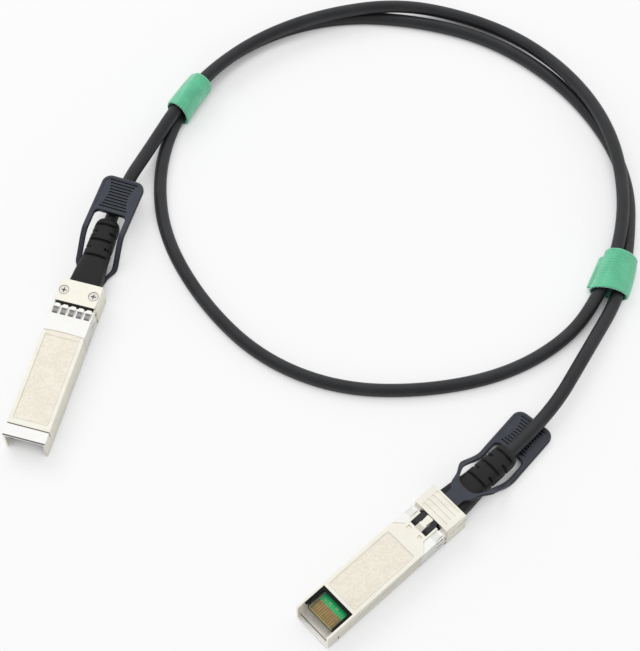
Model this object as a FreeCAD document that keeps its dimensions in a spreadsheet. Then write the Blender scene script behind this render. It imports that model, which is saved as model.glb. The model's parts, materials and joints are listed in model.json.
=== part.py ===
"""Direct attach copper cable: two identical pluggable ends joined by one twinax cable.

Millimetres, +Z up. The origin is the middle of the underside of the first plug's hood, on the
surface that the part rests on. The first plug points along -Y, top side up. The second lies
underside up, and its host end points down and to the left of the first one's cable.

Plug frame: x runs from the host end towards the cable, y across, z up from the shell's underside.
"""
import FreeCAD, Part
import math
import os
import re
import Sketcher
from FreeCAD import Placement, Rotation, Vector

doc = FreeCAD.newDocument("direct_attach_cable")

# ---------------------------------------------------------------- driving sizes

SIZES = [
    ("shell_width", 13.55, "outside width of the plug shell"),
    ("shell_height", 8.5, "outside height of the plug shell"),
    ("side_wall", 0.7, "thickness of the shell's side walls"),
    ("roof", 0.7, "thickness of the top wall"),
    ("floor", 0.8, "thickness of the bottom wall"),
    ("parting", 5.2, "height of the joint between the two shells"),
    ("shell_length", 46.9, "host end to the back of the two shells"),
    ("mouth_length", 10.4, "opening under the card's edge, from the host end"),
    ("nose_length", 4.1, "bright strip at the host end, up to its groove"),
    ("groove", 0.3, "width of the fine engraved grooves"),
    ("groove_depth", 0.25, "depth of the fine engraved grooves"),
    ("nose_bevel", 0.35, "bevel along the top front edge"),
    ("panel_inset", 1.5, "label panel to the shell's edges"),
    ("panel_half", 5.5, "middle plane to the side of the label panels"),
    ("panel_depth", 0.12, "depth of the label panels"),
    ("hood_gap", 1.2, "gap between the shells and the hood"),
    ("hood_length", 7.9, "length of the hood along the plug"),
    ("hood_beyond", 0.35, "outside width of the hood beyond the shell's"),
    ("hood_proud", 0.45, "hood and latch boss beyond the shell, top and bottom"),
    ("hood_parting", 4.25, "height of the joint between the hood's halves"),
    ("hood_round", 0.5, "rounded long edges of the hood"),
    ("grip_slots", 4, "engraved grip slots under the hood"),
    ("grip_pitch", 1.8, "spacing of the grip slots"),
    ("grip_width", 1.1, "width of a grip slot"),
    ("grip_length", 9.5, "length of a grip slot"),
    ("grip_depth", 0.2, "depth of a grip slot"),
    ("screw_y", 4.85, "screw axis to the plug's middle plane"),
    ("screw_head_radius", 1.5, "radius of a cover screw's head"),
    ("screw_head", 0.6, "thickness of a cover screw's head"),
    ("screw_radius", 0.6, "radius of a cover screw's shank"),
    ("screw_foot", 0.6, "bottom of the screw holes over the shell's underside"),
    ("screw_clearance", 0.05, "round a screw in its hole"),
    ("finger_length", 3.4, "length of the collar's spring fingers, up to the back of the shells"),
    ("band_length", 6.0, "length of the collar's plain band"),
    ("collar_bow", 0.4, "how far the middle of the band's front edge bows back"),
    ("sheet", 0.2, "thickness of the collar's sheet metal"),
    ("finger_width", 1.9, "width of a spring finger"),
    ("finger_pitch", 2.6, "spacing of the spring fingers"),
    ("finger_rise", 0.38, "height of a spring finger over the collar"),
    ("side_finger_low", 2.0, "underside of the lower side finger"),
    ("side_finger_high", 4.9, "underside of the upper side finger"),
    ("card_bottom", 2.25, "underside of the paddle card over the shell's underside"),
    ("card", 1.0, "thickness of the paddle card"),
    ("card_setback", 3.2, "host end to the card's edge"),
    ("card_tip_width", 9.2, "width of the card's contact edge"),
    ("card_width", 11.0, "width of the card behind the contact edge"),
    ("card_tip", 8.4, "length of the card's contact edge"),
    ("post_lead", 2.4, "card's shoulders to the front pair of posts over the card"),
    ("post_tail", 9.0, "card's back edge to the front of the rear pair of posts"),
    ("post_length", 3.0, "length of a post"),
    ("pad_count", 10, "gold contacts on each face"),
    ("pad_pitch", 0.8, "spacing of the contacts"),
    ("pad_width", 0.55, "width of a contact"),
    ("pad_lead", 0.3, "card's edge to the front of the contacts"),
    ("pad_length", 3.9, "length of a contact"),
    ("pad", 0.05, "thickness of a contact"),
    ("slot_length", 4.3, "length of the latch slots, open at the back of the shell"),
    ("deck_lead", 1.6, "solid deck in front of the latch slots"),
    ("slot_inner", 1.25, "middle plane to the inner side of a latch slot"),
    ("slot_outer", 3.25, "middle plane to the outer side of a latch slot"),
    ("slot_depth", 1.35, "depth of the latch slots"),
    ("boss_setback", 1.9, "latch boss's locking face to the back of the shells"),
    ("boss_length", 2.6, "length of the latch boss"),
    ("boss_width", 2.3, "width of the latch boss"),
    ("flap_inner", 3.9, "middle plane to the recess of the collar's flaps"),
    ("flap_depth", 0.6, "depth of the recess of the collar's flaps"),
    ("head_width", 7.9, "width of the boot's head inside the hood"),
    ("head_bottom", 1.4, "underside of the boot's head"),
    ("flange_width", 12.4, "width of the boot's flange in the gap"),
    ("flange_top", 8.1, "top of the boot's flange in the gap"),
    ("head_top", 7.4, "top of the boot's head"),
    ("fit", 0.05, "clearance round a piece that is clamped or seated"),
    ("cable_height", 4.35, "cable axis over the shell's underside"),
    ("cable_diameter", 4.2, "outside diameter of the cable jacket"),
    ("boot_base_width", 10.5, "width of the boot behind the hood"),
    ("boot_base_height", 6.3, "height of the boot behind the hood"),
    ("waist_length", 11.5, "back of the hood to the boot's waist"),
    ("boot_waist_width", 8.6, "width of the boot at its waist"),
    ("boot_waist_height", 6.1, "height of the boot at its waist"),
    ("neck_length", 11.4, "boot's waist to where its tip rounds off"),
    ("boot_neck_width", 8.1, "width of the boot before its tip"),
    ("boot_neck_height", 5.9, "height of the boot before its tip"),
    ("tip_length", 2.6, "length of the boot's rounded tip"),
    ("boot_round", 2.2, "rounded long edges of the boot"),
    ("boot_tip_width", 5.8, "width of the boot's end face"),
    ("boot_tip_height", 4.8, "height of the boot's end face"),
    ("rib_groove", 0.85, "width of the boot's flex grooves"),
    ("rib_skin", 0.25, "rubber left over the cable under the long grooves"),
    ("rib_side_skin", 1.2, "rubber left beside the cable in the short grooves"),
    ("rib_pitch", 5.85, "spacing of the boot's long flex grooves"),
    ("wire_radius", 0.3, "radius of a signal wire"),
    ("core_radius", 1.5, "radius of the cable's braided core"),
    ("ferrule_radius", 2.35, "corner radius of the hexagonal crimp ferrule"),
    ("ferrule_length", 3.6, "length of the crimp ferrule"),
    ("tab_sheet", 0.95, "thickness of the pull tab's fork and stem"),
    ("tab_lift", 0.1, "underside of the stem over the shell's underside"),
    ("tab_play", 0.15, "clearance between the pull tab and its slots"),
    ("tab_travel", 2.8, "how far the pull tab slides"),
    ("stem_width", 5.6, "width of the pull tab's stem"),
    ("strap_reach", 7.05, "middle plane to the outside of the pull tab's straps"),
    ("strap_width", 1.8, "width of the pull tab's straps"),
    ("tab_corner", 3.0, "corner radius of the grip plate"),
    ("plate_length", 13.5, "length of the grip plate behind the window"),
    ("tab_bend_a", -2.7, "sideways bend of the first plug's grip plate, in degrees"),
    ("tab_bend_b", -6.6, "sideways bend of the second plug's grip plate, in degrees"),
    ("stem_length", 6.3, "back of the hood to the front of the pull tab's window"),
    ("window_length", 20.7, "length of the pull tab's window"),
    ("plate_bottom", 6.75, "underside of the grip plate over the shell's underside"),
    ("plate", 1.7, "thickness of the grip plate"),
    ("ramp_lead", 3.2, "front of the window to where the straps begin to rise"),
    ("ramp_length", 11.0, "length of the straps' rise to the plate"),
    ("ridge_count", 10, "grip grooves on each face of the plate"),
    ("ridge_pitch", 1.13, "spacing of the grip grooves"),
    ("ridge_width", 0.45, "width of a grip groove"),
    ("ridge_depth", 0.3, "depth of a grip groove"),
    ("ridge_reach", 4.7, "half length of the outermost grip grooves"),
    ("ridge_waist", 1.3, "how much shorter the middle grip grooves reach"),
    ("rim", 0.12, "height of the plate's rim over its web"),
    ("ear_lead", 1.2, "front of the hood to the stem's spring ears"),
    ("ear", 0.8, "length of a spring ear along the plug"),
    ("ear_reach", 3.85, "middle plane to the outside of a spring ear"),
    ("hood_end_wall", 0.8, "wall behind the spring pockets"),
    ("spring_strip", 0.15, "thickness of the return spring's strip"),
    ("cable_tuck", 4.0, "how far inside a boot's tip the free cable begins"),
    ("lead_a", 13.55, "straight run of the cable out of the first boot"),
    ("lead_b", 16.7, "straight run of the cable out of the second boot"),
    ("route_step", 1.0, "length of one step in the cable's route"),
    ("tie_wall", 0.6, "thickness of the hook-and-loop wraps"),
    ("tie_length", 14.2, "length of a wrap along the cable"),
    ("tie_corner", 3.1, "outside corner radius of a wrap"),
    ("tie_play", 0.9, "room beside and over the strands in a wrap"),
]

sheet = doc.addObject("Spreadsheet::Sheet", "Sizes")
for row, (alias, number, note) in enumerate(SIZES, start=1):
    sheet.set(f"A{row}", note)
    sheet.set(f"B{row}", str(number))
    sheet.setAlias(f"B{row}", alias)
doc.recompute()


def bound(text):
    """Turn an expression in plain size names into one that reads the sheet's cells."""
    return re.sub(r"(?<![.\w])([a-z][a-z_]+[a-z])(?!\w|\()", r"Sizes.\1", str(text))


def bind(item, **expressions):
    """Bind properties to expressions; a double underscore in a name stands for a dot."""
    for name, text in expressions.items():
        item.setExpression(name.replace("__", "."), bound(text))
    return item


# ---------------------------------------------------------------- building blocks


def box(name, x, y, z):
    """A box from three (low, high) pairs of expressions."""
    item = doc.addObject("Part::Box", name)
    for letter, side, (low, high) in zip("xyz", ("Length", "Width", "Height"), (x, y, z)):
        item.setExpression("Placement.Base." + letter, bound(low))
        item.setExpression(side, bound(f"({high}) - ({low})"))
    return item


AXES = {"x": Rotation(Vector(0, 1, 0), 90), "y": Rotation(Vector(1, 0, 0), -90), "z": Rotation()}


def rod(name, axis, base, radius, length):
    """A cylinder along an axis of the plug frame, from its base point."""
    item = doc.addObject("Part::Cylinder", name)
    item.Placement.Rotation = AXES[axis]
    for letter, text in zip("xyz", base):
        item.setExpression("Placement.Base." + letter, bound(text))
    return bind(item, Radius=radius, Height=length)


def bar(name, axis, base, radius, length, sides):
    """A straight bar with a regular polygon for its section; the radius reaches its corners."""
    item = doc.addObject("Part::Prism", name)
    item.Polygon = sides
    item.Placement.Rotation = AXES[axis]
    for letter, text in zip("xyz", base):
        item.setExpression("Placement.Base." + letter, bound(text))
    return bind(item, Circumradius=radius, Height=length)


def fuse(name, *parts):
    item = doc.addObject("Part::MultiFuse", name)
    item.Shapes = list(parts)
    item.Refine = True
    return item


def cut(name, base, *tools):
    item = doc.addObject("Part::Cut", name)
    item.Base = base
    item.Tool = tools[0] if len(tools) == 1 else fuse(name + "_tools", *tools)
    item.Refine = True
    return item


def common(name, first, second):
    item = doc.addObject("Part::Common", name)
    item.Base = first
    item.Tool = second
    item.Refine = True
    return item


def mirrored(name, source):
    """The source's twin across the plug's middle plane."""
    item = doc.addObject("Part::Mirroring", name)
    item.Source = source
    item.Normal = Vector(0, 1, 0)
    return item


def pair(name, source):
    return fuse(name, source, mirrored(name + "_twin", source))


def compound(name, parts):
    item = doc.addObject("Part::Compound", name)
    item.Links = list(parts)
    return item


PLANES = {"xy": Rotation(), "xz": Rotation(Vector(1, 0, 0), 90), "yz": Rotation(Vector(1, 1, 1), 120)}


def outline(name, plane, corners):
    """A closed sketch of straight edges whose corners are held at bound coordinates."""
    drawing = doc.addObject("Sketcher::SketchObject", name)
    drawing.Placement.Rotation = PLANES[plane]
    count = len(corners)
    guess = [Vector(index, index * index, 0) for index in range(count)]
    for index in range(count):
        drawing.addGeometry(Part.LineSegment(guess[index], guess[(index + 1) % count]), False)
    for index in range(count):
        drawing.addConstraint(Sketcher.Constraint("Coincident", index, 2, (index + 1) % count, 1))
    for index, (across, up) in enumerate(corners):
        for kind, text in (("DistanceX", across), ("DistanceY", up)):
            number = drawing.addConstraint(Sketcher.Constraint(kind, -1, 1, index, 1, 1.0))
            drawing.setExpression(f"Constraints[{number}]", bound(text))
    return drawing


def prism(name, plane, corners, low, high):
    """A straight-edged outline drawn out square to its plane, from low to high."""
    drawing = outline(name + "_outline", plane, corners)
    letter, sign = {"xy": ("z", 1), "xz": ("y", -1), "yz": ("x", 1)}[plane]
    start = low if sign > 0 else high
    drawing.setExpression("Placement.Base." + letter, bound(start))
    item = doc.addObject("Part::Extrusion", name)
    item.Base = drawing
    item.DirMode = "Normal"
    item.Solid = True
    return bind(item, LengthFwd=f"({high}) - ({low})")


def named(item, label):
    item.Label = label
    return item


# ---------------------------------------------------------------- rounded sections


def value(text):
    """The number that an expression in size names has now, used to start a sketch."""
    probe = doc.getObject("Probe") or doc.addObject("App::FeaturePython", "Probe")
    if not hasattr(probe, "Number"):
        probe.addProperty("App::PropertyFloat", "Number")
    probe.setExpression("Number", bound(text))
    probe.recompute()
    return probe.Number


def rounded(name, plane, left, right, low, high, corner, at):
    """A rectangle with round corners between bound sides, in a plane at a bound place."""
    x0, x1, y0, y1, radius = (value(text) for text in (left, right, low, high, corner))
    drawing = doc.addObject("Sketcher::SketchObject", name)
    drawing.Placement.Rotation = PLANES[plane]
    centres = [(x1 - radius, y0 + radius), (x1 - radius, y1 - radius),
               (x0 + radius, y1 - radius), (x0 + radius, y0 + radius)]
    sides = [((x0 + radius, y0), (x1 - radius, y0)), ((x1, y0 + radius), (x1, y1 - radius)),
             ((x1 - radius, y1), (x0 + radius, y1)), ((x0, y1 - radius), (x0, y0 + radius))]
    for quarter, ((start, end), centre) in enumerate(zip(sides, centres)):
        drawing.addGeometry(Part.LineSegment(Vector(*start, 0), Vector(*end, 0)), False)
        circle = Part.Circle(Vector(*centre, 0), Vector(0, 0, 1), radius)
        turn = (quarter - 1) * math.pi / 2
        drawing.addGeometry(Part.ArcOfCircle(circle, turn, turn + math.pi / 2), False)
    for index in range(8):
        drawing.addConstraint(Sketcher.Constraint("Tangent", index, 2, (index + 1) % 8, 1))
    for index in (0, 4):
        drawing.addConstraint(Sketcher.Constraint("Horizontal", index))
        drawing.addConstraint(Sketcher.Constraint("Vertical", index + 2))
    for index in (3, 5, 7):
        drawing.addConstraint(Sketcher.Constraint("Equal", 1, index))
    held = [("DistanceY", 0, low), ("DistanceX", 2, right), ("DistanceY", 4, high), ("DistanceX", 6, left)]
    for kind, index, text in held:
        number = drawing.addConstraint(Sketcher.Constraint(kind, -1, 1, index, 1, value(text)))
        drawing.setExpression(f"Constraints[{number}]", bound(text))
    number = drawing.addConstraint(Sketcher.Constraint("Radius", 1, radius))
    drawing.setExpression(f"Constraints[{number}]", bound(corner))
    letter = {"xy": "z", "xz": "y", "yz": "x"}[plane]
    drawing.setExpression("Placement.Base." + letter, bound(at))
    return drawing


def eased(name, half, rise, corner, at):
    """A flat-sided section round the cable's axis, each of its corners eased in three facets."""
    quarter = [(1, 0), (0.866, 0.5), (0.5, 0.866), (0, 1)]
    corners = []
    for across, up, steps in ((1, 1, quarter), (-1, 1, quarter[::-1]),
                              (-1, -1, quarter), (1, -1, quarter[::-1])):
        corners += [(f"{across} * ({half} - {1 - over:.3f} * {corner})",
                     f"cable_height + {up} * ({rise} - {1 - aside:.3f} * {corner})") for over, aside in steps]
    drawing = outline(name, "yz", corners)
    drawing.setExpression("Placement.Base.x", bound(at))
    return drawing


def drawn(name, drawing, length):
    item = doc.addObject("Part::Extrusion", name)
    item.Base = drawing
    item.DirMode = "Normal"
    item.Solid = True
    return bind(item, LengthFwd=length)


def loft(name, sections):
    item = doc.addObject("Part::Loft", name)
    item.Sections = sections
    item.Solid = True
    item.Ruled = True
    return item


# ---------------------------------------------------------------- one plug

HALF = "shell_width / 2"
INNER = "(shell_width / 2 - side_wall)"
HOOD_START = "(shell_length + hood_gap)"
HOOD_LOW = "-hood_proud"
HOOD_HIGH = "(shell_height + hood_proud)"
PLUG_END = "(shell_length + hood_gap + hood_length)"
SCREW_X = "(shell_length + hood_gap + hood_length / 2)"
ROOF_LOW = "(shell_height - roof)"
CARD_TOP = "(card_bottom + card)"
TAB_HIGH = "(tab_lift + tab_sheet)"
TAB_ROOM = "(tab_lift + tab_sheet + 0.3)"
SEAT = "(sheet + 0.01)"
BOW = "((shell_width^2 / 4 + collar_bow^2) / (2 * collar_bow))"
FINGERS = "(shell_length - finger_length)"
COLLAR = "(shell_length - finger_length - band_length)"
SLOT = "(shell_length - slot_length)"
DECK = "(shell_length - slot_length - deck_lead)"
BOSS_END = "(shell_length - boss_setback)"
CARD_STEP = "(card_setback + card_tip)"
FERRULE = "(shell_length - 0.3 - ferrule_length)"
EAR = "(shell_length + hood_gap + ear_lead)"
SPRING_ROOM = "(hood_length - ear_lead - ear - hood_end_wall)"
WAIST = f"({PLUG_END} + waist_length)"
NECK = f"({PLUG_END} + waist_length + neck_length)"
BOOT_END = f"({PLUG_END} + waist_length + neck_length + tip_length)"
RIBS = f"({PLUG_END} + waist_length - 0.2)"
WINDOW = f"({PLUG_END} + stem_length)"
WINDOW_END = f"({PLUG_END} + stem_length + window_length)"
TAB_END = f"({PLUG_END} + stem_length + window_length + plate_length)"
RAMP = f"({PLUG_END} + stem_length + ramp_lead)"
RAMP_END = f"({PLUG_END} + stem_length + ramp_lead + ramp_length)"
CHEEK = "(head_width / 2 + 0.25)"


def span(half):
    return f"-({half})", half


def hood_blank(p, tag, low, high, upper):
    """Half of the hood: a block whose long outer edges are rounded."""
    far = "6 * hood_round"
    ends = (low, f"({high}) + {far}") if not upper else (f"({low}) - {far}", high)
    drawing = rounded(p + tag + "_outline", "yz", *span("hood_beyond / 2 + " + HALF), *ends,
                      "hood_round", HOOD_START)
    whole = drawn(p + tag + "_whole", drawing, f"{PLUG_END} - {HOOD_START}")
    keep = box(p + tag + "_keep", (HOOD_START + " - 1", f"{PLUG_END} + 1"),
               span("shell_width + hood_beyond"), (low, high))
    return common(p + tag, whole, keep)


def collar_blank(p, tag, depth, back, grow):
    """What the collar's sheet takes up round the shell, with its bowed front edge."""
    around = box(p + tag + "_around", (f"{COLLAR} - " + grow, back), span(HALF + " + " + grow),
                 ("flap_depth - sheet", "shell_height + " + grow))
    inside = box(p + tag + "_inside", (f"{COLLAR} - 1", back + " + 1"), span(f"{HALF} - {depth}"),
                 ("-1", f"shell_height - {depth}"))
    bow = rod(p + tag + "_bow", "z", (f"{COLLAR} + collar_bow - {grow} - {BOW}", "0", "parting"), BOW,
              "shell_height")
    return cut(p + tag, around, inside, bow)


def lower_shell(p):
    walls = cut(
        p + "lower_walls",
        box(p + "lower_block", ("0", "shell_length"), span(HALF), ("0", "parting")),
        box(p + "lower_room", ("-1", "shell_length + 1"), span(INNER), ("floor", "2 * parting")),
        box(p + "lower_mouth", ("-1", "mouth_length"), span(INNER), ("-1", "parting")))
    ledges = pair(p + "card_ledges", box(
        p + "card_ledge", ("card_setback", DECK + " + 1"),
        ("card_tip_width / 2 + 0.35", INNER + " + 0.1"), ("floor - 0.1", "card_bottom")))
    deck = box(p + "latch_deck", (DECK, "shell_length"), span(INNER + " + 0.1"),
               ("floor - 0.1", "slot_depth + 0.7"))
    tray = cut(
        p + "tray", fuse(p + "tray_solid", walls, ledges, deck),
        collar_blank(p, "lower_collar_seat", SEAT, "shell_length + 1", "1"),
        pair(p + "flap_seats", prism(p + "flap_seat", "xy", [
            (f"{COLLAR} + 0.8", "shell_width"), (f"{COLLAR} + 0.8", HALF + " - 0.35"),
            (DECK, "flap_inner"), ("shell_length + 1", "flap_inner"),
            ("shell_length + 1", "shell_width")], "-1", "flap_depth")),
        box(p + "lower_panel", ("mouth_length + 1.2", f"{COLLAR} - 1.8"), span("panel_half"),
            ("-1", "panel_depth")))
    boss = prism(p + "latch_boss", "xz", [
        (f"{BOSS_END} - boss_length", "0.1"), (f"{BOSS_END} - boss_length", "0"),
        (f"{BOSS_END} - 0.9", HOOD_LOW), (BOSS_END, HOOD_LOW), (BOSS_END, "0.1")], *span("boss_width / 2"))
    cheeks = pair(p + "lower_cheeks", box(
        p + "lower_cheek", ("shell_length - 0.1", HOOD_START + " + 0.1"), (CHEEK, HALF + " - sheet"),
        ("slot_depth", "hood_parting")))
    hood = cut(p + "lower_hood", hood_blank(p, "lower_hood_block", HOOD_LOW, "hood_parting", False),
               box(p + "lower_hood_room", (HOOD_START + " - 1", f"{PLUG_END} + 1"),
                   span("head_width / 2 + fit"), ("head_bottom - fit", "2 * parting")))
    holes = [box(p + "stem_way", (HOOD_START + " - 1", f"{PLUG_END} + 1"),
                 span("slot_outer"), ("tab_lift - fit", "2 * parting")),
             box(p + "ear_way", (f"{EAR} - 0.2", f"{EAR} + ear + {SPRING_ROOM}"),
                 span("ear_reach + fit"), ("tab_lift - fit", "2 * parting"))]
    hood = cut(p + "hood_channel", hood, *holes)
    grips = [box(f"{p}grip_slot_{number}",
                 tuple(f"{SCREW_X} + ({number} - (grip_slots - 1) / 2) * grip_pitch {side} grip_width / 2"
                       for side in "-+"), span("grip_length / 2"), ("-2", "grip_depth - hood_proud"))
             for number in range(int(value("grip_slots")))]
    cuts = [pair(p + "tine_slots", box(p + "tine_slot", (SLOT, "shell_length + 0.2"),
                                       ("slot_inner", "slot_outer"), ("-1", "slot_depth"))),
            pair(p + "key_pockets", box(p + "key_pocket", (f"{SLOT} - 2.2", f"{SLOT} - 0.9"),
                                        ("1.6", "2.9"), ("-1", "0.5"))),
            box(p + "tongue_relief", (BOSS_END, "shell_length + 0.2"), span("slot_outer"),
                ("-1", "0.5")),
            pair(p + "lower_screw_holes", rod(
                p + "lower_screw_hole", "z", (SCREW_X, "screw_y", "screw_foot"),
                "screw_radius + screw_clearance", "shell_height"))]
    return cut(p + "lower", fuse(p + "lower_solid", tray, boss, cheeks, hood), *cuts, *grips)


def upper_shell(p):
    block = cut(
        p + "upper_walls",
        box(p + "upper_block", ("0", "shell_length"), span(HALF), ("parting", "shell_height")),
        box(p + "upper_room", ("-1", "shell_length + 1"), span(INNER), ("parting - 1", ROOF_LOW)))
    posts = [pair(f"{p}card_posts_{number}", box(
        f"{p}card_post_{number}", (start, f"{start} + post_length"),
        ("card_width / 2 - 0.7", INNER + " - fit"),
        (CARD_TOP + " + fit", ROOF_LOW + " + 0.1")))
             for number, start in enumerate((CARD_STEP + " + post_lead", DECK + " - post_tail"))]
    cheeks = pair(p + "upper_cheeks", box(
        p + "upper_cheek", ("shell_length - 0.1", HOOD_START), ("flange_width / 2 + 0.1", HALF + " - sheet"),
        ("parting", ROOF_LOW + " + 0.3")))
    nose = cut(
        p + "nose_groove",
        box(p + "groove_around", ("nose_length", "nose_length + groove"), span("shell_width"),
            ("parting + 0.6", "shell_height + 1")),
        box(p + "groove_inside", ("0", "shell_length"), span(HALF + " - groove_depth"),
            ("0", "shell_height - groove_depth")))
    bevel = prism(p + "nose_bevel_tool", "xz", [
        ("-0.1", "shell_height - nose_bevel - 0.1"), ("nose_bevel + 0.1", "shell_height + 0.1"),
        ("-0.1", "shell_height + 0.1")], *span("shell_width"))
    panel = box(p + "upper_panel", ("nose_length + 0.9", f"{COLLAR} - panel_inset"), span("panel_half"),
                ("shell_height - panel_depth", "shell_height + 1"))
    return cut(p + "upper", fuse(p + "upper_solid", block, *posts, cheeks), nose, bevel, panel,
               collar_blank(p, "upper_collar_seat", SEAT, "shell_length + 1", "1"))


def rear_cover(p):
    hood = hood_blank(p, "rear_block", "hood_parting", HOOD_HIGH, True)
    room = box(p + "rear_room", (HOOD_START + " - 1", f"{PLUG_END} + 1"), span("head_width / 2 + fit"),
               ("0", "head_top + fit"))
    bores = rod(p + "cover_screw_hole", "z", (SCREW_X, "screw_y", "hood_parting - 1"),
                "screw_radius + screw_clearance", "shell_height")
    seats = rod(p + "cover_screw_seat", "z", (SCREW_X, "screw_y", HOOD_HIGH + " - screw_head - fit"),
                "screw_head_radius + screw_clearance", "shell_height")
    return cut(p + "rear", hood, room, pair(p + "cover_screw_holes", bores),
               pair(p + "cover_screw_seats", seats))


def cover_screws(p):
    shank = bar(p + "screw_shank", "z", (SCREW_X, "screw_y", "screw_foot + 0.2"), "screw_radius",
                HOOD_HIGH + " - screw_foot - screw_head", 8)
    head = rod(p + "screw_head_disc", "z", (SCREW_X, "screw_y", HOOD_HIGH + " - screw_head - fit"),
               "screw_head_radius", "screw_head")
    deep = (HOOD_HIGH + " - fit - screw_head / 2", HOOD_HIGH + " + 1")
    arm = "screw_head_radius * 0.55"
    cross = [box(p + "screw_cross_a", (f"{SCREW_X} - {arm}", f"{SCREW_X} + {arm}"),
                 ("screw_y - 0.16", "screw_y + 0.16"), deep),
             box(p + "screw_cross_b", (f"{SCREW_X} - 0.16", f"{SCREW_X} + 0.16"),
                 (f"screw_y - {arm}", f"screw_y + {arm}"), deep)]
    screw = cut(p + "screw", fuse(p + "screw_solid", shank, head), *cross)
    return compound(p + "screws", [screw, mirrored(p + "screw_twin", screw)])


def finger_strip(high, low):
    """Side view of one spring finger: it rises off the sheet and bends down at its tip."""
    rise = "finger_rise"
    return [(FINGERS + " - 0.2", low), (FINGERS + " - 0.2", high), (FINGERS, high),
            ("shell_length - 0.8", f"{high} + {rise}"), ("shell_length - 0.1", f"{high} + {rise} * 0.55"),
            ("shell_length - 0.1", f"{low} + {rise} * 0.55"), ("shell_length - 0.8", f"{low} + {rise}"),
            (FINGERS + " + 0.1", low)]


def emi_collar(p):
    band = collar_blank(p, "collar_band", "sheet", "shell_length - 0.1", "0")
    flaps = pair(p + "collar_flaps", prism(p + "collar_flap", "xy", [
        (f"{COLLAR} + 1.4", HALF), (f"{COLLAR} + 1.4", HALF + " - sheet"),
        (DECK + " + 0.4", "flap_inner + fit"), ("shell_length - 0.1", "flap_inner + fit"),
        ("shell_length - 0.1", HALF)], "flap_depth - sheet", "flap_depth"))
    openings, fingers = [], []
    for number in range(5):
        middle = f"({number} - 2) * finger_pitch"
        edges = (f"{middle} - finger_width / 2", f"{middle} + finger_width / 2")
        fingers.append(prism(f"{p}top_finger_{number}", "xz",
                             finger_strip("shell_height", "shell_height - sheet"), *edges))
    openings.append(box(p + "top_window", (FINGERS, "shell_length"),
                        span("2 * finger_pitch + finger_width / 2 + 0.3"),
                        ("shell_height - 0.5", "shell_height + 1")))
    for number, start in enumerate(("side_finger_low", "side_finger_high")):
        ends = (start, f"{start} + finger_width")
        strip = [(x, y) for x, y in finger_strip(HALF, f"{HALF} - sheet")]
        finger = prism(f"{p}side_finger_{number}", "xy", strip, *ends)
        fingers.append(pair(f"{p}side_fingers_{number}", finger))
        openings.append(pair(f"{p}side_windows_{number}", box(
            f"{p}side_window_{number}", (FINGERS, "shell_length"), (HALF + " - 0.5", HALF + " + 1"),
            (f"{start} - 0.3", f"{start} + finger_width + 0.3"))))
    under = [(x, y) for x, y in finger_strip("-(flap_depth - sheet)", "-flap_depth")]
    under = [(x, f"-({y})") for x, y in under]
    lone = ("flap_inner + 0.5", "flap_inner + 0.5 + finger_width")
    fingers.append(pair(p + "under_fingers", prism(p + "under_finger", "xz", under, *lone)))
    openings.append(pair(p + "under_windows", box(
        p + "under_window", (FINGERS, "shell_length"), (lone[0] + " - 0.2", lone[1] + " + 0.2"),
        ("flap_depth - 0.5", "flap_depth + 0.1"))))
    return fuse(p + "collar", cut(p + "collar_open", fuse(p + "collar_sheet", band, flaps), *openings),
                *fingers)


def paddle_card(p):
    """The circuit card: a stepped outline, padded, with bevelled contact edges."""
    body = doc.addObject("PartDesign::Body", p + "card")
    shape = outline(p + "card_outline", "xy", [
        ("card_setback", "-card_tip_width / 2"), (CARD_STEP, "-card_tip_width / 2"),
        (CARD_STEP, "-card_width / 2"), (DECK, "-card_width / 2"), (DECK, "card_width / 2"),
        (CARD_STEP, "card_width / 2"), (CARD_STEP, "card_tip_width / 2"),
        ("card_setback", "card_tip_width / 2")])
    body.addObject(shape)
    shape.setExpression("Placement.Base.z", bound("card_bottom"))
    pad = body.newObject("PartDesign::Pad", p + "card_pad")
    pad.Profile = shape
    bind(pad, Length="card")
    doc.recompute()
    front = [f"Edge{number}" for number, edge in enumerate(pad.Shape.Edges, start=1)
             if edge.BoundBox.XMax < value("card_setback") + 0.01 and edge.BoundBox.ZLength < 0.01]
    bevel = body.newObject("PartDesign::Chamfer", p + "card_bevel")
    bevel.Base = (pad, front)
    bind(bevel, Size="card * 0.25")
    body.Tip = bevel
    return body


def contact_pads(p):
    pads = []
    for number in range(int(value("pad_count"))):
        middle = f"({number} - (pad_count - 1) / 2) * pad_pitch"
        across = (f"{middle} - pad_width / 2", f"{middle} + pad_width / 2")
        along = ("card_setback + pad_lead", "card_setback + pad_lead + pad_length")
        for face, up in (("over", (CARD_TOP, CARD_TOP + " + pad")),
                         ("under", ("card_bottom - pad", "card_bottom"))):
            pads.append(box(f"{p}pad_{face}_{number}", along, across, up))
    return compound(p + "pads", pads)


def card_components(p):
    """The identity memory and the coupling capacitors."""
    top = (CARD_TOP, CARD_TOP + " + 1.0")
    chip = box(p + "memory_chip", (CARD_STEP + " + 8.4", CARD_STEP + " + 13.4"), span("2"), top)
    capacitors = [box(f"{p}capacitor_{number}",
                      (f"{DECK} - 6.6 - {number % 2} * 2.4", f"{DECK} - 5.6 - {number % 2} * 2.4"),
                      (f"{side} - 0.3", f"{side} + 0.3"), (CARD_TOP, CARD_TOP + " + 0.4"))
                  for number, side in enumerate(("-3", "-3", "3", "3"))]
    return compound(p + "components", [chip] + capacitors)


def signal_wires(p):
    """Two pairs of conductors, laid on the card behind the coupling capacitors."""
    return compound(p + "wires", [
        bar(f"{p}wire_{number}", "x", (DECK + " - 3.5", f"({number} - 1.5) * 2.6 * wire_radius",
                                       CARD_TOP + " + wire_radius"),
            "wire_radius", f"{FERRULE} - {DECK} + 3.5", 8) for number in range(4)])


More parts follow.
